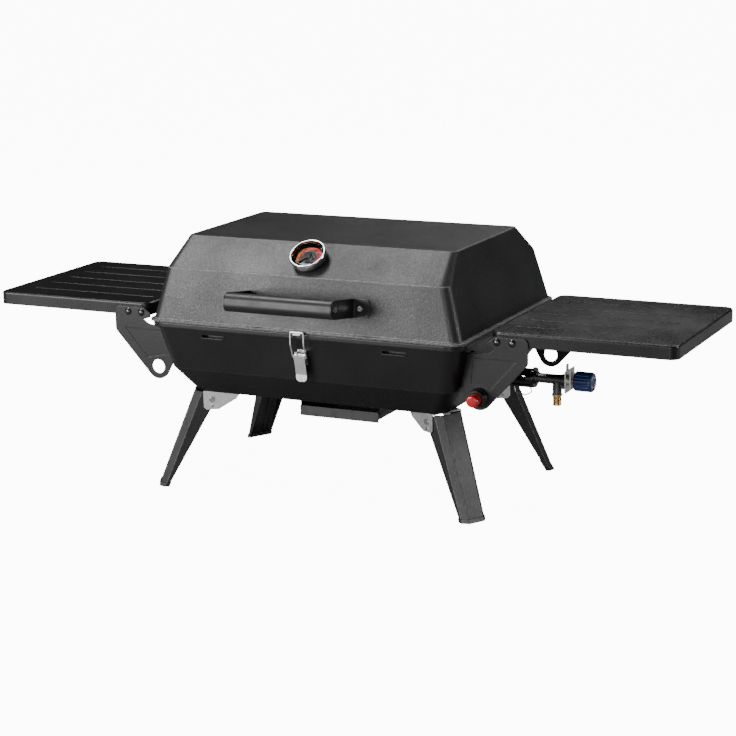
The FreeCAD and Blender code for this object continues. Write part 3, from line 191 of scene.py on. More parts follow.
class Graph:
    """A material under construction: makes nodes and links them in one call."""

    def __init__(self, name):
        self.material = bpy.data.materials.new(name)
        self.material.use_nodes = True
        self.tree = self.material.node_tree
        self.shader = self.tree.nodes["Principled BSDF"]
        self.place = self.make("ShaderNodeTexCoord").outputs["Object"]

    def make(self, kind, **settings):
        node = self.tree.nodes.new(kind)
        for key, value in settings.items():
            setattr(node, key, value)
        return node

    def link(self, source, target):
        self.tree.links.new(source, target)

    def noise(self, scale, detail=2.0, stretch=None):
        """Cloudy pattern from 0 to 1, with about `scale` blobs per metre."""
        node = self.make("ShaderNodeTexNoise")
        node.inputs["Scale"].default_value = scale
        node.inputs["Detail"].default_value = detail
        source = self.place
        if stretch:
            mapping = self.make("ShaderNodeMapping")
            mapping.inputs["Scale"].default_value = stretch
            self.link(self.place, mapping.inputs["Vector"])
            source = mapping.outputs[0]
        self.link(source, node.inputs["Vector"])
        return node.outputs["Fac"]

    def rescale(self, source, low, high, to_low, to_high):
        node = self.make("ShaderNodeMapRange")
        sockets = ("From Min", "From Max", "To Min", "To Max")
        for socket, value in zip(sockets, (low, high, to_low, to_high)):
            node.inputs[socket].default_value = value
        self.link(source, node.inputs["Value"])
        return node.outputs["Result"]

    def mix(self, amount, first, second):
        """Blend of two colours; each is a socket or a plain (r, g, b)."""
        node = self.make("ShaderNodeMix", data_type="RGBA")
        self.link(amount, node.inputs["Factor"])
        for socket, value in ((node.inputs[6], first), (node.inputs[7], second)):
            if isinstance(value, tuple):
                socket.default_value = (*value, 1)
            else:
                self.link(value, socket)
        return node.outputs[2]

    def math(self, operation, first, second=None):
        node = self.make("ShaderNodeMath", operation=operation)
        for socket, value in zip(node.inputs, (first, second)):
            if isinstance(value, (int, float)):
                socket.default_value = value
            elif value is not None:
                self.link(value, socket)
        return node.outputs[0]

    def edges(self, radius, samples=4):
        """Rounded normal, and a mask from 0 to 1 as dot(rounded, true) falls to EDGE_FULL."""
        bevel = self.make("ShaderNodeBevel", samples=samples)
        bevel.inputs["Radius"].default_value = radius
        geometry = self.make("ShaderNodeNewGeometry")
        dot = self.make("ShaderNodeVectorMath", operation="DOT_PRODUCT")
        self.link(bevel.outputs[0], dot.inputs[0])
        self.link(geometry.outputs["Normal"], dot.inputs[1])
        mask = self.rescale(dot.outputs["Value"], EDGE_START, EDGE_FULL, 0.0, 1.0)
        return bevel.outputs[0], mask

    def bump(self, height, depth, normal=None):
        node = self.make("ShaderNodeBump")
        node.inputs["Distance"].default_value = depth
        node.inputs["Strength"].default_value = 1.0
        self.link(height, node.inputs["Height"])
        if normal is not None:
            self.link(normal, node.inputs["Normal"])
        self.link(node.outputs[0], self.shader.inputs["Normal"])

    def set(self, **values):
        for key, value in values.items():
            self.shader.inputs[key.replace("_", " ")].default_value = value


print("shader helpers ready")

# %% [markdown]
# ### Powder coat
# Powder paint is sprayed dry and baked, so it flows into tiny rounded bumps. Close up it
# sparkles where single bumps catch the light, and from further off it looks like fine grey
# grain on black. A fine noise makes the grain, a medium one adds larger bumps and breaks up
# the painted highlight along the edges, and a coarse one makes the shade and the sheen drift.

# %% Powder coat
GRAIN_SCALE, BUMP_SCALE, CLOUD_SCALE = 620, 260, 9
GRAIN_LIGHT, CLOUD_LIGHT = 2.6, 1.35
BUMP_SHARE = 1.4


def powder_coat(name, shade, rough, grain, depth, sheen_drift=0.06, edge_highlight_gain=9.0,
                edge_radius=0.002):
    """Colour = shade * (1 - grain) to shade * (1 + 2.6 grain) by fine noise, painted highlight on edges.
    """
    g = Graph(name)
    fine = g.noise(GRAIN_SCALE, 2.0)
    medium = g.noise(BUMP_SCALE, 3.0)
    cloud = g.noise(CLOUD_SCALE, 4.0)
    speck = g.rescale(fine, 0.42, 0.66, 0.0, 1.0)
    dark = tuple(c * (1 - grain) for c in shade)
    light = tuple(c * (1 + GRAIN_LIGHT * grain) for c in shade)
    body = g.mix(speck, dark, light)
    clouded = tuple(c * CLOUD_LIGHT for c in shade)
    body = g.mix(g.rescale(cloud, 0.35, 0.7, 0.0, 0.35), body, clouded)
    rounded, edge = g.edges(edge_radius)
    # Lighter colour on edges, broken up by the medium noise: a painted highlight.
    edge_highlight_mask = g.math("MULTIPLY", edge, g.rescale(medium, 0.35, 0.6, 0.35, 1.0))
    edge_highlight_shade = tuple(min(1, c * edge_highlight_gain + 0.01) for c in shade)
    g.link(g.mix(edge_highlight_mask, body, edge_highlight_shade), g.shader.inputs["Base Color"])
    drift = g.rescale(cloud, 0.3, 0.7, rough - sheen_drift, rough + sheen_drift)
    sparkle = g.rescale(speck, 0.0, 1.0, 0.06, -0.06)
    g.link(g.math("ADD", drift, sparkle), g.shader.inputs["Roughness"])
    height = g.math("ADD", fine, g.math("MULTIPLY", medium, BUMP_SHARE))
    g.bump(height, depth, rounded)
    g.set(Specular_IOR_Level=0.4)
    return g.material


# The five coats stand for one black powder paint. Their different shades are painted light and shade:
# the lid and the legs are lighter, the bowl, the tables and the brackets darker.
LID_BLACK = powder_coat("lid_powder_coat", (0.012, 0.012, 0.0123), 0.42, 0.4, 0.00012,
                        edge_highlight_gain=22.0, edge_radius=0.0032)
BOWL_BLACK = powder_coat("bowl_powder_coat", (0.0035, 0.0035, 0.0037), 0.33, 0.25, 0.00004,
                         edge_highlight_gain=16.0)
TABLE_BLACK = powder_coat("table_powder_coat", (0.004, 0.004, 0.0042), 0.30, 0.12, 0.000015,
                          edge_highlight_gain=7.0)
BRACKET_BLACK = powder_coat("bracket_powder_coat", (0.004, 0.004, 0.0042), 0.40, 0.3, 0.00006)
LEG_BLACK = powder_coat("leg_powder_coat", (0.014, 0.014, 0.0144), 0.34, 0.35, 0.00006)
print("powder coats:", [m.name for m in bpy.data.materials if "powder" in m.name])

# %% [markdown]
# ### Bare and plated metal
# Zinc plate is bright with a cloudy bloom, and rolled strip keeps faint lines along its
# length. Brass is turned on a lathe, so its marks run round. Stretching the noise along one
# axis draws lines, and the drift in roughness makes highlights break up as on real metal.

# %% Metals
METAL_EDGE = 0.0006


def plated(name, shade, rough, stretch=(1, 1, 1), lines=0.00001, bloom=0.25, tint=None):
    """Metal colour clouded by noise; stretched noise gives fine drawn lines."""
    g = Graph(name)
    drawn = g.noise(900, 3.0, stretch)
    cloud = g.noise(42, 4.0)
    dull = tuple(c * (1 - bloom) for c in shade)
    body = g.mix(g.rescale(cloud, 0.3, 0.7, 0.0, 1.0), dull, shade)
    if tint:
        body = g.mix(g.rescale(g.noise(14, 3.0), 0.45, 0.75, 0.0, 0.6), body, tint)
    rounded, edge = g.edges(METAL_EDGE)
    # Slightly lighter colour on edges: a painted highlight.
    bright = tuple(min(1, c * 1.15) for c in shade)
    g.link(g.mix(edge, body, bright), g.shader.inputs["Base Color"])
    g.link(g.rescale(drawn, 0.3, 0.7, rough - 0.07, rough + 0.1), g.shader.inputs["Roughness"])
    g.bump(drawn, lines, rounded)
    g.set(Metallic=1.0)
    return g.material


ZINC = plated("zinc_plate", (0.80, 0.80, 0.79), 0.34, (1, 1, 0.15), 0.000012, 0.15)
BRIGHT = plated("bright_fastener", (0.55, 0.55, 0.56), 0.24, (1, 1, 1), 0.00001, 0.2)
DARK_BOLT = plated("black_bolt", (0.10, 0.10, 0.105), 0.28, (1, 1, 1), 0.00001, 0.4)
CHROME = plated("polished_chrome", (0.83, 0.83, 0.84), 0.10, (1, 1, 1), 0.000002, 0.06)
STEEL_TUBE = plated("heat_tinted_steel", (0.46, 0.44, 0.41), 0.36, (0.1, 1, 1), 0.00002, 0.3,
                    (0.36, 0.24, 0.13))
CAST_ZINC = plated("die_cast_zinc", (0.16, 0.16, 0.165), 0.30, (1, 1, 1), 0.00006, 0.4)
BLACK_TUBE = plated("blackened_tube", (0.07, 0.07, 0.075), 0.18, (0.1, 1, 1), 0.00001, 0.3)
BRASS = plated("turned_brass", (0.86, 0.60, 0.25), 0.24, (1, 1, 6), 0.000012, 0.2,
               (0.62, 0.36, 0.12))
print("metals:", ZINC.name, BRIGHT.name, CHROME.name, BRASS.name)

# %% [markdown]
# ### Plastics, iron, ceramic and glass
# Moulded plastic has a spark-eroded grain and a slightly soft edge. The cooking grate is
# enamelled and keeps a trace of browned fat. The lens is clear, with a little roughness
# drift, so that it shows a highlight and the dial through it.

# %% Plastics and the rest
PLASTIC_EDGE, ENAMEL_EDGE = 0.0007, 0.001


def moulded(name, shade, rough, depth=0.00003, coat=0.0, drift=0.06):
    """Plastic: fine grain bump, roughness that drifts, an optional clear gloss."""
    g = Graph(name)
    grain = g.noise(2400, 2.0)
    cloud = g.noise(30, 3.0)
    rounded, edge = g.edges(PLASTIC_EDGE)
    darker, lighter = (tuple(c * k for c in shade) for k in (0.85, 1.15))
    body = g.mix(g.rescale(cloud, 0.3, 0.7, 0.0, 1.0), darker, lighter)
    # Lighter colour on edges: a painted highlight.
    edge_highlight_shade = tuple(min(1, c * 1.6 + 0.01) for c in shade)
    g.link(g.mix(edge, body, edge_highlight_shade), g.shader.inputs["Base Color"])
    g.link(g.rescale(cloud, 0.3, 0.7, rough - drift, rough + drift), g.shader.inputs["Roughness"])
    g.bump(grain, depth, rounded)
    g.set(Coat_Weight=coat, Coat_Roughness=0.12)
    return g.material


def cooked_enamel(name, shade, grease, rough):
    """Enamel with browned patches where a slow noise is high."""
    g = Graph(name)
    patch = g.rescale(g.noise(26, 5.0), 0.5, 0.72, 0.0, 0.75)
    g.link(g.mix(patch, shade, grease), g.shader.inputs["Base Color"])
    sheen = g.rescale(g.noise(60, 4.0), 0.3, 0.7, rough - 0.12, rough + 0.14)
    g.link(sheen, g.shader.inputs["Roughness"])
    rounded, _ = g.edges(ENAMEL_EDGE)
    g.bump(g.noise(800, 3.0), 0.00008, rounded)
    return g.material


def clear_lens(name):
    """Clear glass with a faint drift in roughness."""
    g = Graph(name)
    g.link(g.rescale(g.noise(50, 2.0), 0.3, 0.7, 0.0, 0.05), g.shader.inputs["Roughness"])
    g.set(Base_Color=(1, 1, 1, 1), Transmission_Weight=1.0, IOR=1.03, Specular_IOR_Level=0.5)
    return g.material


BLACK_PLASTIC = moulded("black_plastic", (0.008, 0.008, 0.0085), 0.38)
GRIP_BLACK = moulded("grip_plastic", (0.003, 0.003, 0.0032), 0.46, 0.00002)
KNOB_BLUE = moulded("knob_plastic", (0.004, 0.022, 0.115), 0.32, coat=0.3)
BUTTON_RED = moulded("button_plastic", (0.42, 0.003, 0.008), 0.22, 0.00001, coat=0.7)
CERAMIC = moulded("white_ceramic", (0.80, 0.79, 0.75), 0.25, coat=0.4)
NEEDLE = moulded("needle_paint", (0.012, 0.012, 0.013), 0.45)
PRINT = moulded("number_paint", (0.30, 0.29, 0.27), 0.50)
MARK = moulded("mark_paint", (0.62, 0.66, 0.72), 0.45)
GRATE = cooked_enamel("grate_enamel", (0.028, 0.028, 0.028), (0.085, 0.05, 0.026), 0.38)
TRAY = cooked_enamel("tray_enamel", (0.020, 0.020, 0.021), (0.03, 0.024, 0.018), 0.42)
LENS = clear_lens("gauge_lens")
print("plastics:", BLACK_PLASTIC.name, KNOB_BLUE.name, BUTTON_RED.name, "and", LENS.name)

# %% [markdown]
# ## Finish on each CAD node
# Every node keeps its mesh and gets one of the finishes. A table of name beginnings keeps
# this readable: the first beginning that fits a node's name wins.

# %% Assign finishes
FINISHES = [
    ("lid_shell", LID_BLACK), ("lid_rivets", DARK_BOLT),
    ("bowl_shell", BOWL_BLACK), ("bowl_rivets", BRIGHT),
    ("side_table", TABLE_BLACK), ("table_bracket", BRACKET_BLACK), ("table_bolts", DARK_BOLT),
    ("table_nuts", BRIGHT), ("leg_bracket", ZINC), ("leg_pins", BRIGHT), ("leg_", LEG_BLACK),
    ("foot_cap", BLACK_PLASTIC), ("handle_grip", GRIP_BLACK), ("handle_straps", BRACKET_BLACK),
    ("handle_screws", BRIGHT), ("hinge_pins", BRIGHT), ("hinge_leaves", BRACKET_BLACK),
    ("latch_", ZINC), ("tray_rails", BRACKET_BLACK), ("drip_tray", TRAY),
    ("cooking_grate", GRATE), ("grate_ledges", BOWL_BLACK), ("heat_plate", STEEL_TUBE),
    ("burner", STEEL_TUBE), ("air_shroud", BLACK_TUBE),
    ("jet_holder", CAST_ZINC), ("valve_body", CAST_ZINC),
    ("valve_clip", ZINC), ("valve_stem", BRASS), ("valve_knob", KNOB_BLUE), ("wire_clip", BRIGHT),
    ("gas_inlet", BRASS), ("igniter_body", BLACK_PLASTIC), ("igniter_nut", BLACK_PLASTIC),
    ("igniter_button", BUTTON_RED), ("igniter_electrode", CERAMIC), ("thermometer_body", BLACK_PLASTIC),
    ("thermometer_bezel", CHROME), ("thermometer_dial", BLACK_PLASTIC), ("thermometer_glass", LENS),
    ("thermometer_pointer", NEEDLE),
]


def dress(piece, material):
    piece.data.materials.clear()
    piece.data.materials.append(material)


for node_name, piece in nodes.items():
    chosen = next(material for start, material in FINISHES if node_name.startswith(start))
    dress(piece, chosen)
print("dressed", len(nodes), "nodes")

# %% [markdown]
# ## Turned pieces
# The gauge's rim, the button, the bezel and the thread are all made on a lathe or in a
# round mould. Each is a surface of two numbers: how far along the outline, and how far
# round the axis. An outline is a list of corners; short arcs round them off.

# %% Surface helpers
ROUND_STEPS = 96


def axis_frame(axis):
    """Unit axis and two unit directions across it."""
    a = np.array(axis, float) / np.linalg.norm(axis)
    side = np.cross((0, 0, 1), a) if abs(a[2]) < 0.9 else np.cross((0, 1, 0), a)
    u = side / np.linalg.norm(side)
    return a, u, np.cross(a, u)


def softened(corners, radius, steps=5):
    """Outline whose inner corners are replaced by arcs that touch both sides."""
    c = np.array(corners, float)
    out = [c[0]]
    for before, corner, after in zip(c, c[1:], c[2:]):
        back, on = before - corner, after - corner
        trim = min(radius, 0.45 * np.linalg.norm(back), 0.45 * np.linalg.norm(on))
        first = corner + back / np.linalg.norm(back) * trim
        last = corner + on / np.linalg.norm(on) * trim
        t = np.linspace(0, 1, steps)[:, None]
        out.extend((1 - t) ** 2 * first + 2 * t * (1 - t) * corner + t**2 * last)
    out.append(c[-1])
    return np.array(out)


def grid_piece(name, points, material, body, smooth=True):
    """Mesh from a grid of points: rows along the outline, columns round the axis, closed round."""
    rows, columns, _ = points.shape
    index = np.arange(rows * columns).reshape(rows, columns)
    beside = np.roll(index, -1, axis=1)
    quads = np.stack([index[:-1], beside[:-1], beside[1:], index[1:]], axis=-1).reshape(-1, 4)
    mesh = bpy.data.meshes.new(name)
    mesh.from_pydata(points.reshape(-1, 3).tolist(), [], quads.tolist())
    work = bmesh.new()
    work.from_mesh(mesh)
    bmesh.ops.remove_doubles(work, verts=work.verts, dist=1e-7)
    bmesh.ops.recalc_face_normals(work, faces=work.faces)
    work.to_mesh(mesh)
    work.free()
    mesh.polygons.foreach_set("use_smooth", [smooth] * len(mesh.polygons))
    piece = bpy.data.objects.new(name, mesh)
    bpy.context.scene.collection.objects.link(piece)
    dress(piece, material)
    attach(piece, body)
    print(name, len(mesh.polygons), "faces, rides on", body)
    return piece


def turned(origin, axis, outline, wave=None, steps=ROUND_STEPS):
    """Point = origin + axis * s + (u cos t + w sin t) * (r + wave(s, t)) for an outline of (s, r)."""
    a, u, w = axis_frame(axis)
    s, r = outline[:, :1], outline[:, 1:]
    t = np.linspace(0, 2 * math.pi, steps, endpoint=False)[None, :]
    radius = r + (wave(s, t, r) if wave else 0.0)
    around = np.cos(t)[..., None] * u + np.sin(t)[..., None] * w
    return np.array(origin, float) + s[..., None] * a + around * radius[..., None]


def measured(name, origin, axis):
    """Low and high reach along an axis, and largest radius about it, of one CAD node."""
    turn = np.array(nodes[name].matrix_world)
    points = np.empty(3 * len(nodes[name].data.vertices))
    nodes[name].data.vertices.foreach_get("co", points)
    points = points.reshape(-1, 3) @ turn[:3, :3].T + turn[:3, 3] - np.array(origin, float)
    along = points @ np.array(axis, float)
    radius = np.linalg.norm(points - along[:, None] * np.array(axis, float), axis=1)
    return along.min(), along.max(), radius.max()


print("surface helpers ready,", ROUND_STEPS, "steps round")

# %% [markdown]
# ## Thermometer
# A bimetal gauge: a black cup on the lid, a polished rim rolled over a domed lens, and a
# printed dial. The rim's roll is what catches the light, so it is a turned outline with
# generous arcs. The lens bulges by a little over a millimetre.

# %% Gauge rim and lens
gauge = joints["pointer_turn"]
gauge_centre = np.array(gauge["pos_m"])
gauge_out = -np.array(gauge["axis"], float)
RIM_LOW, RIM_HIGH, RIM_OUTER = measured("thermometer_bezel", gauge_centre, gauge_out)
_, LENS_EDGE, LENS_RADIUS = measured("thermometer_glass", gauge_centre, gauge_out)
_, DIAL_LEVEL, DIAL_RADIUS = measured("thermometer_dial", gauge_centre, gauge_out)
RIM_INNER = DIAL_RADIUS - 0.3 * MM
LENS_RISE = 1.3 * MM

rim_outline = softened([(RIM_LOW, RIM_OUTER - 1.5 * MM), (RIM_LOW, RIM_OUTER - 0.3 * MM),
                        (RIM_HIGH - 2.5 * MM, RIM_OUTER), (RIM_HIGH, RIM_OUTER - 1.2 * MM),
                        (RIM_HIGH - 0.3 * MM, RIM_INNER + 0.6 * MM), (RIM_HIGH - 3.4 * MM, RIM_INNER),
                        (RIM_HIGH - 3.5 * MM, RIM_OUTER - 1.6 * MM),
                        (RIM_LOW, RIM_OUTER - 1.5 * MM)], 1.2 * MM)
rim = grid_piece("gauge_rim", turned(gauge_centre, gauge_out, rim_outline, steps=128), CHROME, "lid")
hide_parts("thermometer_bezel")


def dome(edge, rise, radius, thickness, steps=14):
    """Outline of a shallow cap: height = edge + rise * (1 - (r / radius)^2), and its flat back."""
    r = np.linspace(0, radius, steps)
    top = np.stack([edge + rise * (1 - (r / radius) ** 2), r], axis=1)
    bottom = np.stack([top[::-1, 0] - thickness, top[::-1, 1]], axis=1)
    return np.concatenate([top, bottom])


lens_outline = dome(LENS_EDGE, LENS_RISE, LENS_RADIUS - 0.1 * MM, 1.0 * MM)
lens = grid_piece("gauge_lens", turned(gauge_centre, gauge_out, lens_outline), LENS, "lid")
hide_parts("thermometer_glass")

# %% [markdown]
# ### Dial print
# The dial is black with a coloured band that runs from amber through red, white ticks
# inside it and a pale patch at the bottom. The pattern is worked out in polar terms: a
# Mapping node puts the origin on the dial's centre and lays its axes in the dial's plane,
# then radius and angle pick the colours.

# %% Dial print
DIAL_BLACK, TICK_WHITE = (0.012, 0.012, 0.014), (0.34, 0.33, 0.32)
LINE_RED, PATCH_PALE = (0.40, 0.02, 0.012), (0.30, 0.36, 0.42)
BAND_STOPS = [(0.13, (0.62, 0.16, 0.015)), (0.33, (0.60, 0.10, 0.012)),
              (0.50, (0.52, 0.015, 0.010)), (0.85, (0.36, 0.004, 0.006))]
SCALE_START, SCALE_END = 0.125, 0.875
MINOR_TICKS, MAJOR_TICKS = 48.0, 12.0
DIAL_THICKNESS = 0.9 * MM


def gauge_matrix():
    """Columns: across the dial, up the dial, out of the dial."""
    out = Vector(gauge_out)
    across = Vector((1, 0, 0))
    return Matrix((across, out.cross(across), out)).transposed()


def dial_paint():
    """Rings where r / R lies between two shares; ticks where fract(n * turn + shift) < width."""
    g = Graph("dial_print")
    local = g.make("ShaderNodeMapping", vector_type="TEXTURE")
    local.inputs["Location"].default_value = gauge_centre
    local.inputs["Rotation"].default_value = gauge_matrix().to_euler()
    g.link(g.place, local.inputs["Vector"])
    split = g.make("ShaderNodeSeparateXYZ")
    g.link(local.outputs[0], split.inputs[0])
    x, y = split.outputs[0], split.outputs[1]
    squares = g.math("ADD", g.math("MULTIPLY", x, x), g.math("MULTIPLY", y, y))
    radius = g.math("DIVIDE", g.math("SQRT", squares), DIAL_RADIUS)
    angle = g.math("ARCTAN2", g.math("MULTIPLY", x, -1.0), g.math("MULTIPLY", y, -1.0))
    turn = g.math("FRACT", g.math("ADD", g.math("DIVIDE", angle, 2 * math.pi), 1.0))

    def between(value, low, high):
        above, below = g.math("GREATER_THAN", value, low), g.math("LESS_THAN", value, high)
        return g.math("MULTIPLY", above, below)

    def comb(count, shift, width):
        place = g.math("ADD", g.math("MULTIPLY", turn, count), shift)
        return g.math("LESS_THAN", g.math("FRACT", place), width)

    ramp = g.make("ShaderNodeValToRGB")
    while len(ramp.color_ramp.elements) < len(BAND_STOPS):
        ramp.color_ramp.elements.new(0.5)
    for element, (at, colour) in zip(ramp.color_ramp.elements, BAND_STOPS):
        element.position, element.color = at, (*colour, 1)
    g.link(turn, ramp.inputs[0])
    scale_arc = between(turn, SCALE_START, SCALE_END)
    band = g.math("MULTIPLY", between(radius, 0.62, 0.78), scale_arc)
    inner = g.math("MULTIPLY", between(radius, 0.55, 0.58), scale_arc)
    minor, major = comb(MINOR_TICKS, 0.16, 0.32), comb(MAJOR_TICKS, 0.54, 0.09)
    ticks = g.math("MULTIPLY", g.math("MULTIPLY", minor, between(radius, 0.47, 0.53)), scale_arc)
    majors = g.math("MULTIPLY", g.math("MULTIPLY", major, between(radius, 0.44, 0.54)), scale_arc)
    bottom = g.math("SUBTRACT", 1.0, between(turn, 0.075, 0.925))
    patch = g.math("MULTIPLY", between(radius, 0.52, 0.76), bottom)
    colour = g.mix(band, DIAL_BLACK, ramp.outputs[0])
    colour = g.mix(inner, colour, LINE_RED)
    colour = g.mix(g.math("MAXIMUM", ticks, majors), colour, TICK_WHITE)
    colour = g.mix(patch, colour, PATCH_PALE)
    g.link(colour, g.shader.inputs["Base Color"])
    g.link(g.rescale(g.noise(300), 0.3, 0.7, 0.38, 0.52), g.shader.inputs["Roughness"])
    g.set(Specular_IOR_Level=0.1)
    return g.material


DIAL_BACK = DIAL_LEVEL - DIAL_THICKNESS
disc = np.array([(DIAL_LEVEL, 0), (DIAL_LEVEL, DIAL_RADIUS), (DIAL_BACK, DIAL_RADIUS), (DIAL_BACK, 0)])
dial = grid_piece("dial_face", turned(gauge_centre, gauge_out, disc), dial_paint(), "lid", smooth=False)
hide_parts("thermometer_dial")

# %% [markdown]
# ### Dial numbers
# The numbers are plain figures for degrees. Each is a text curve made into a mesh, then
# moved so that it stands upright at its place round the scale.

# %% Dial numbers
NUMBER_HEIGHT = 2.0 * MM
NUMBER_CIRCLE = 0.36
NUMBER_LIFT = 0.05 * MM
NUMBERS = [(0, "50"), (1, "100"), (2, "150"), (3, "200"), (4, "250"), (5, "300"), (6, "350")]


def dial_number(step, words):
    """Figure at 45 + 45 * step degrees clockwise from the bottom, on a circle of 0.36 R."""
    curve = bpy.data.curves.new("number_" + words, "FONT")
    curve.body = words
    curve.size = NUMBER_HEIGHT
    curve.align_x, curve.align_y = "CENTER", "CENTER"
    text = bpy.data.objects.new("text", curve)
    bpy.context.scene.collection.objects.link(text)
    mesh = bpy.data.meshes.new_from_object(text.evaluated_get(bpy.context.evaluated_depsgraph_get()))
    bpy.data.objects.remove(text)
    angle = math.radians(45 + 45 * step)
    spot = Vector((-math.sin(angle), -math.cos(angle), 0)) * NUMBER_CIRCLE * DIAL_RADIUS
    spot.z = DIAL_LEVEL + NUMBER_LIFT
    to_dial = Matrix.Translation(Vector(gauge_centre)) @ gauge_matrix().to_4x4()
    mesh.transform(to_dial @ Matrix.Translation(spot))
    piece = bpy.data.objects.new("dial_number_" + words, mesh)
    bpy.context.scene.collection.objects.link(piece)
    dress(piece, PRINT)
    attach(piece, "lid")


for step, words in NUMBERS:
    dial_number(step, words)
print("dial numbers", [words for _, words in NUMBERS])

# %% [markdown]
# ## Igniter
# The piezo igniter is a black moulded body held in the bracket's ring by a nut, with a
# domed red push-button. The body's flange has rounded shoulders and a raised collar round
# the button.

# %% Igniter
body_low, body_high = (np.array(v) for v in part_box("igniter_body"))
press_axis = np.array([0.0, -1.0, 0.0])
igniter_centre = (body_low + body_high) / 2
flange_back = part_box("table_bracket_front_right")[0][1]
igniter_origin = np.array([igniter_centre[0], flange_back, igniter_centre[2]])
_, flange_length, FLANGE_RADIUS = measured("igniter_body", igniter_origin, press_axis)
_, _, BUTTON_RADIUS = measured("igniter_button", igniter_origin, press_axis)
COLLAR_RADIUS = BUTTON_RADIUS + 3.0 * MM
BARREL_RADIUS = 10.7 * MM
WELL_RADIUS, WELL_FLOOR = BUTTON_RADIUS + 0.05 * MM, 3.0 * MM
barrel_back = -(body_high[1] - flange_back)

bezel_outline = softened([(barrel_back, 0), (barrel_back, BARREL_RADIUS), (0, BARREL_RADIUS),
                          (0, FLANGE_RADIUS), (5.0 * MM, FLANGE_RADIUS), (6.5 * MM, COLLAR_RADIUS),
                          (flange_length, COLLAR_RADIUS - 0.5 * MM),
                          (flange_length - 0.6 * MM, WELL_RADIUS), (WELL_FLOOR, WELL_RADIUS),
                          (WELL_FLOOR, 0)], 1.4 * MM)
bezel = grid_piece("igniter_bezel", turned(igniter_origin, press_axis, bezel_outline),
                   BLACK_PLASTIC, "bowl")
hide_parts("igniter_body")

button_low, button_high = (np.array(v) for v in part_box("igniter_button"))
button_origin = np.array([igniter_centre[0], button_high[1], igniter_centre[2]])
button_length = button_high[1] - button_low[1]
button_outline = softened([(0, 0), (0, BUTTON_RADIUS), (button_length - 3.2 * MM, BUTTON_RADIUS),
                           (button_length - 0.6 * MM, BUTTON_RADIUS - 1.6 * MM),
                           (button_length, 0)], 2.4 * MM, 8)
button = grid_piece("button_cap", turned(button_origin, press_axis, button_outline),
                    BUTTON_RED, "igniter_button")
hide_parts("igniter_button")

# %% [markdown]
# ## Gas knob
# The knob is moulded with flutes for the fingers. Its radius is a circle minus a rounded
# groove that repeats round the axis, and the grooves fade out near both faces. Two pale
# arcs on the end face show which way to turn.

# %% Gas knob
knob_low, knob_high = (np.array(v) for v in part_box("valve_knob"))
knob_origin = np.array([knob_low[0], (knob_low[1] + knob_high[1]) / 2, (knob_low[2] + knob_high[2]) / 2])
knob_length = knob_high[0] - knob_low[0]
_, _, KNOB_RADIUS = measured("valve_knob", knob_origin, (1, 0, 0))
KNOB_FLUTES, FLUTE_DEPTH, FLUTE_FADE = 16, 1.3 * MM, 4 * MM


def flute(s, t, r):
    """-Depth * |cos(n t / 2)|^6, faded in over 4 mm at both ends of the knob's side."""
    fade = np.clip(s / FLUTE_FADE, 0, 1) * np.clip((knob_length - 2 * MM - s) / FLUTE_FADE, 0, 1)
    full = np.clip((r - 0.8 * KNOB_RADIUS) / (0.15 * KNOB_RADIUS), 0, 1)
    return -FLUTE_DEPTH * np.abs(np.cos(KNOB_FLUTES * t / 2)) ** 6 * fade * full


side = np.stack([np.linspace(2.0 * MM, knob_length - 2.4 * MM, 16), np.full(16, KNOB_RADIUS)], axis=1)
face_level = knob_length - 0.8 * MM
back_edge = softened([(0, 0.77 * KNOB_RADIUS), (0, 0.93 * KNOB_RADIUS), tuple(side[0])], MM)
face_edge = softened([tuple(side[-1]), (knob_length, 0.91 * KNOB_RADIUS),
                      (knob_length, 0.73 * KNOB_RADIUS)], 2 * MM)
knob_outline = np.concatenate([[(0, 0), (0, 0.77 * KNOB_RADIUS)], back_edge, side, face_edge,
                               [(face_level, 0.68 * KNOB_RADIUS), (face_level, 0)]])
knob = grid_piece("knob_grip", turned(knob_origin, (1, 0, 0), knob_outline, flute, 192),
                  KNOB_BLUE, "knob")
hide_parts("valve_knob")


def knob_mark(name, first, last):
    """Raised arc from one angle to another: a strip swept round, 0.3 mm proud."""
    t = np.radians(np.linspace(first, last, 24))
    level = knob_length - 0.85 * MM
    rows = []
    top = level + 0.3 * MM
    for s, r in ((level, 7.4), (top, 7.5), (top, 8.6), (level, 8.7), (level, 7.4)):
        r = r * MM
        rows.append(np.stack([np.full_like(t, s), r * np.cos(t), r * np.sin(t)], axis=1) + knob_origin)
    strip = np.stack(rows, axis=1)
    first_end = np.repeat(strip[:1].mean(axis=1, keepdims=True), strip.shape[1], axis=1)
    last_end = np.repeat(strip[-1:].mean(axis=1, keepdims=True), strip.shape[1], axis=1)
    grid = np.concatenate([first_end, strip, last_end])[:, :-1]
    mark = grid_piece(name, grid, MARK, "knob", smooth=False)


knob_mark("knob_mark_low", 200, 340)
knob_mark("knob_mark_high", 30, 150)

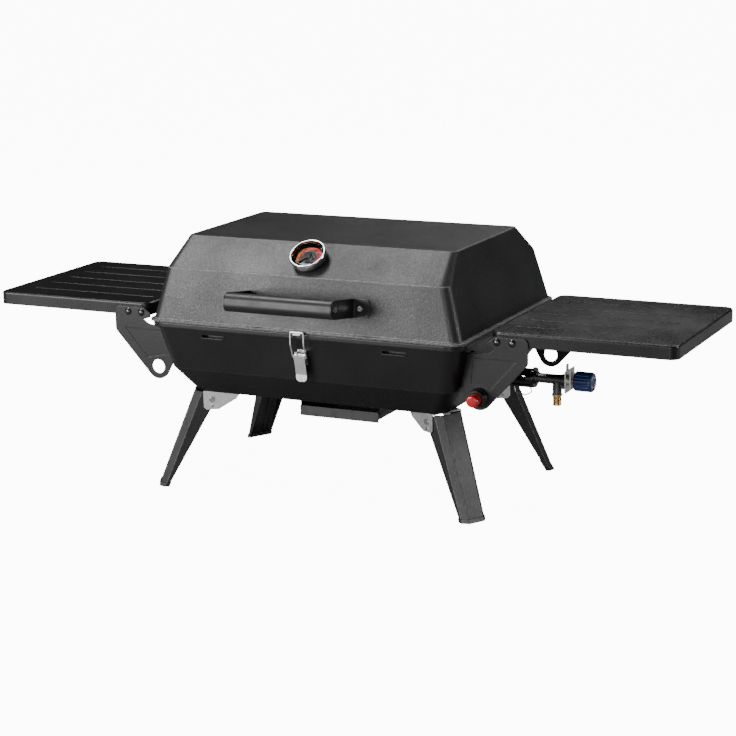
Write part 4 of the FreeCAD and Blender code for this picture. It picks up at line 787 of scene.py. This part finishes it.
# %% [markdown]
# ## Threads
# A thread is a ridge that winds round a shaft: the radius rises and falls along the axis,
# and the wave's phase turns once per pitch. It fades out at both ends, so that the last
# turn runs into the shaft.

# %% Gas inlet thread
inlet_low, inlet_high = (np.array(v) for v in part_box("gas_inlet_nipple"))
inlet_origin = np.array([(inlet_low[0] + inlet_high[0]) / 2, (inlet_low[1] + inlet_high[1]) / 2,
                         inlet_high[2]])
inlet_length = inlet_high[2] - inlet_low[2]
_, _, COLLAR_OUT = measured("gas_inlet_nipple", inlet_origin, (0, 0, -1))
THREAD_PITCH, THREAD_DEPTH, THREAD_RADIUS = 1.34 * MM, 0.8 * MM, COLLAR_OUT - 1.6 * MM
COLLAR_END, NECK_RADIUS = 3.0 * MM, 5.9 * MM
thread_end, bore_floor = inlet_length - 0.8 * MM, inlet_length - 9 * MM


def ridge(s, t, r):
    """Triangle wave in (s / pitch - t / 2 pi), THREAD_DEPTH deep, on the threaded stretch only."""
    phase = (s / THREAD_PITCH - t / (2 * math.pi)) % 1.0
    cut = THREAD_DEPTH * np.abs(2 * phase - 1)
    fade = np.clip((s - 4.2 * MM) / MM, 0, 1) * np.clip((thread_end - s) / MM, 0, 1)
    on_shaft = (np.abs(r - THREAD_RADIUS) < 0.05 * MM) * 1.0
    return -cut * fade * on_shaft


shaft = np.stack([np.linspace(4.0 * MM, thread_end, 90), np.full(90, THREAD_RADIUS)], axis=1)
collar = [(0, 0), (0, COLLAR_OUT - 0.4 * MM), (0.4 * MM, COLLAR_OUT), (2.6 * MM, COLLAR_OUT),
          (COLLAR_END, COLLAR_OUT - 0.4 * MM), (COLLAR_END, NECK_RADIUS), (3.8 * MM, NECK_RADIUS)]
bore = [(inlet_length, 5.8 * MM), (inlet_length, 3.3 * MM), (bore_floor, 3.2 * MM), (bore_floor, 0)]
inlet_outline = np.concatenate([collar, shaft, bore])
inlet = grid_piece("inlet_thread", turned(inlet_origin, (0, 0, -1), inlet_outline, ridge),
                   BRASS, "bowl", smooth=False)
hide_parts("gas_inlet_nipple")
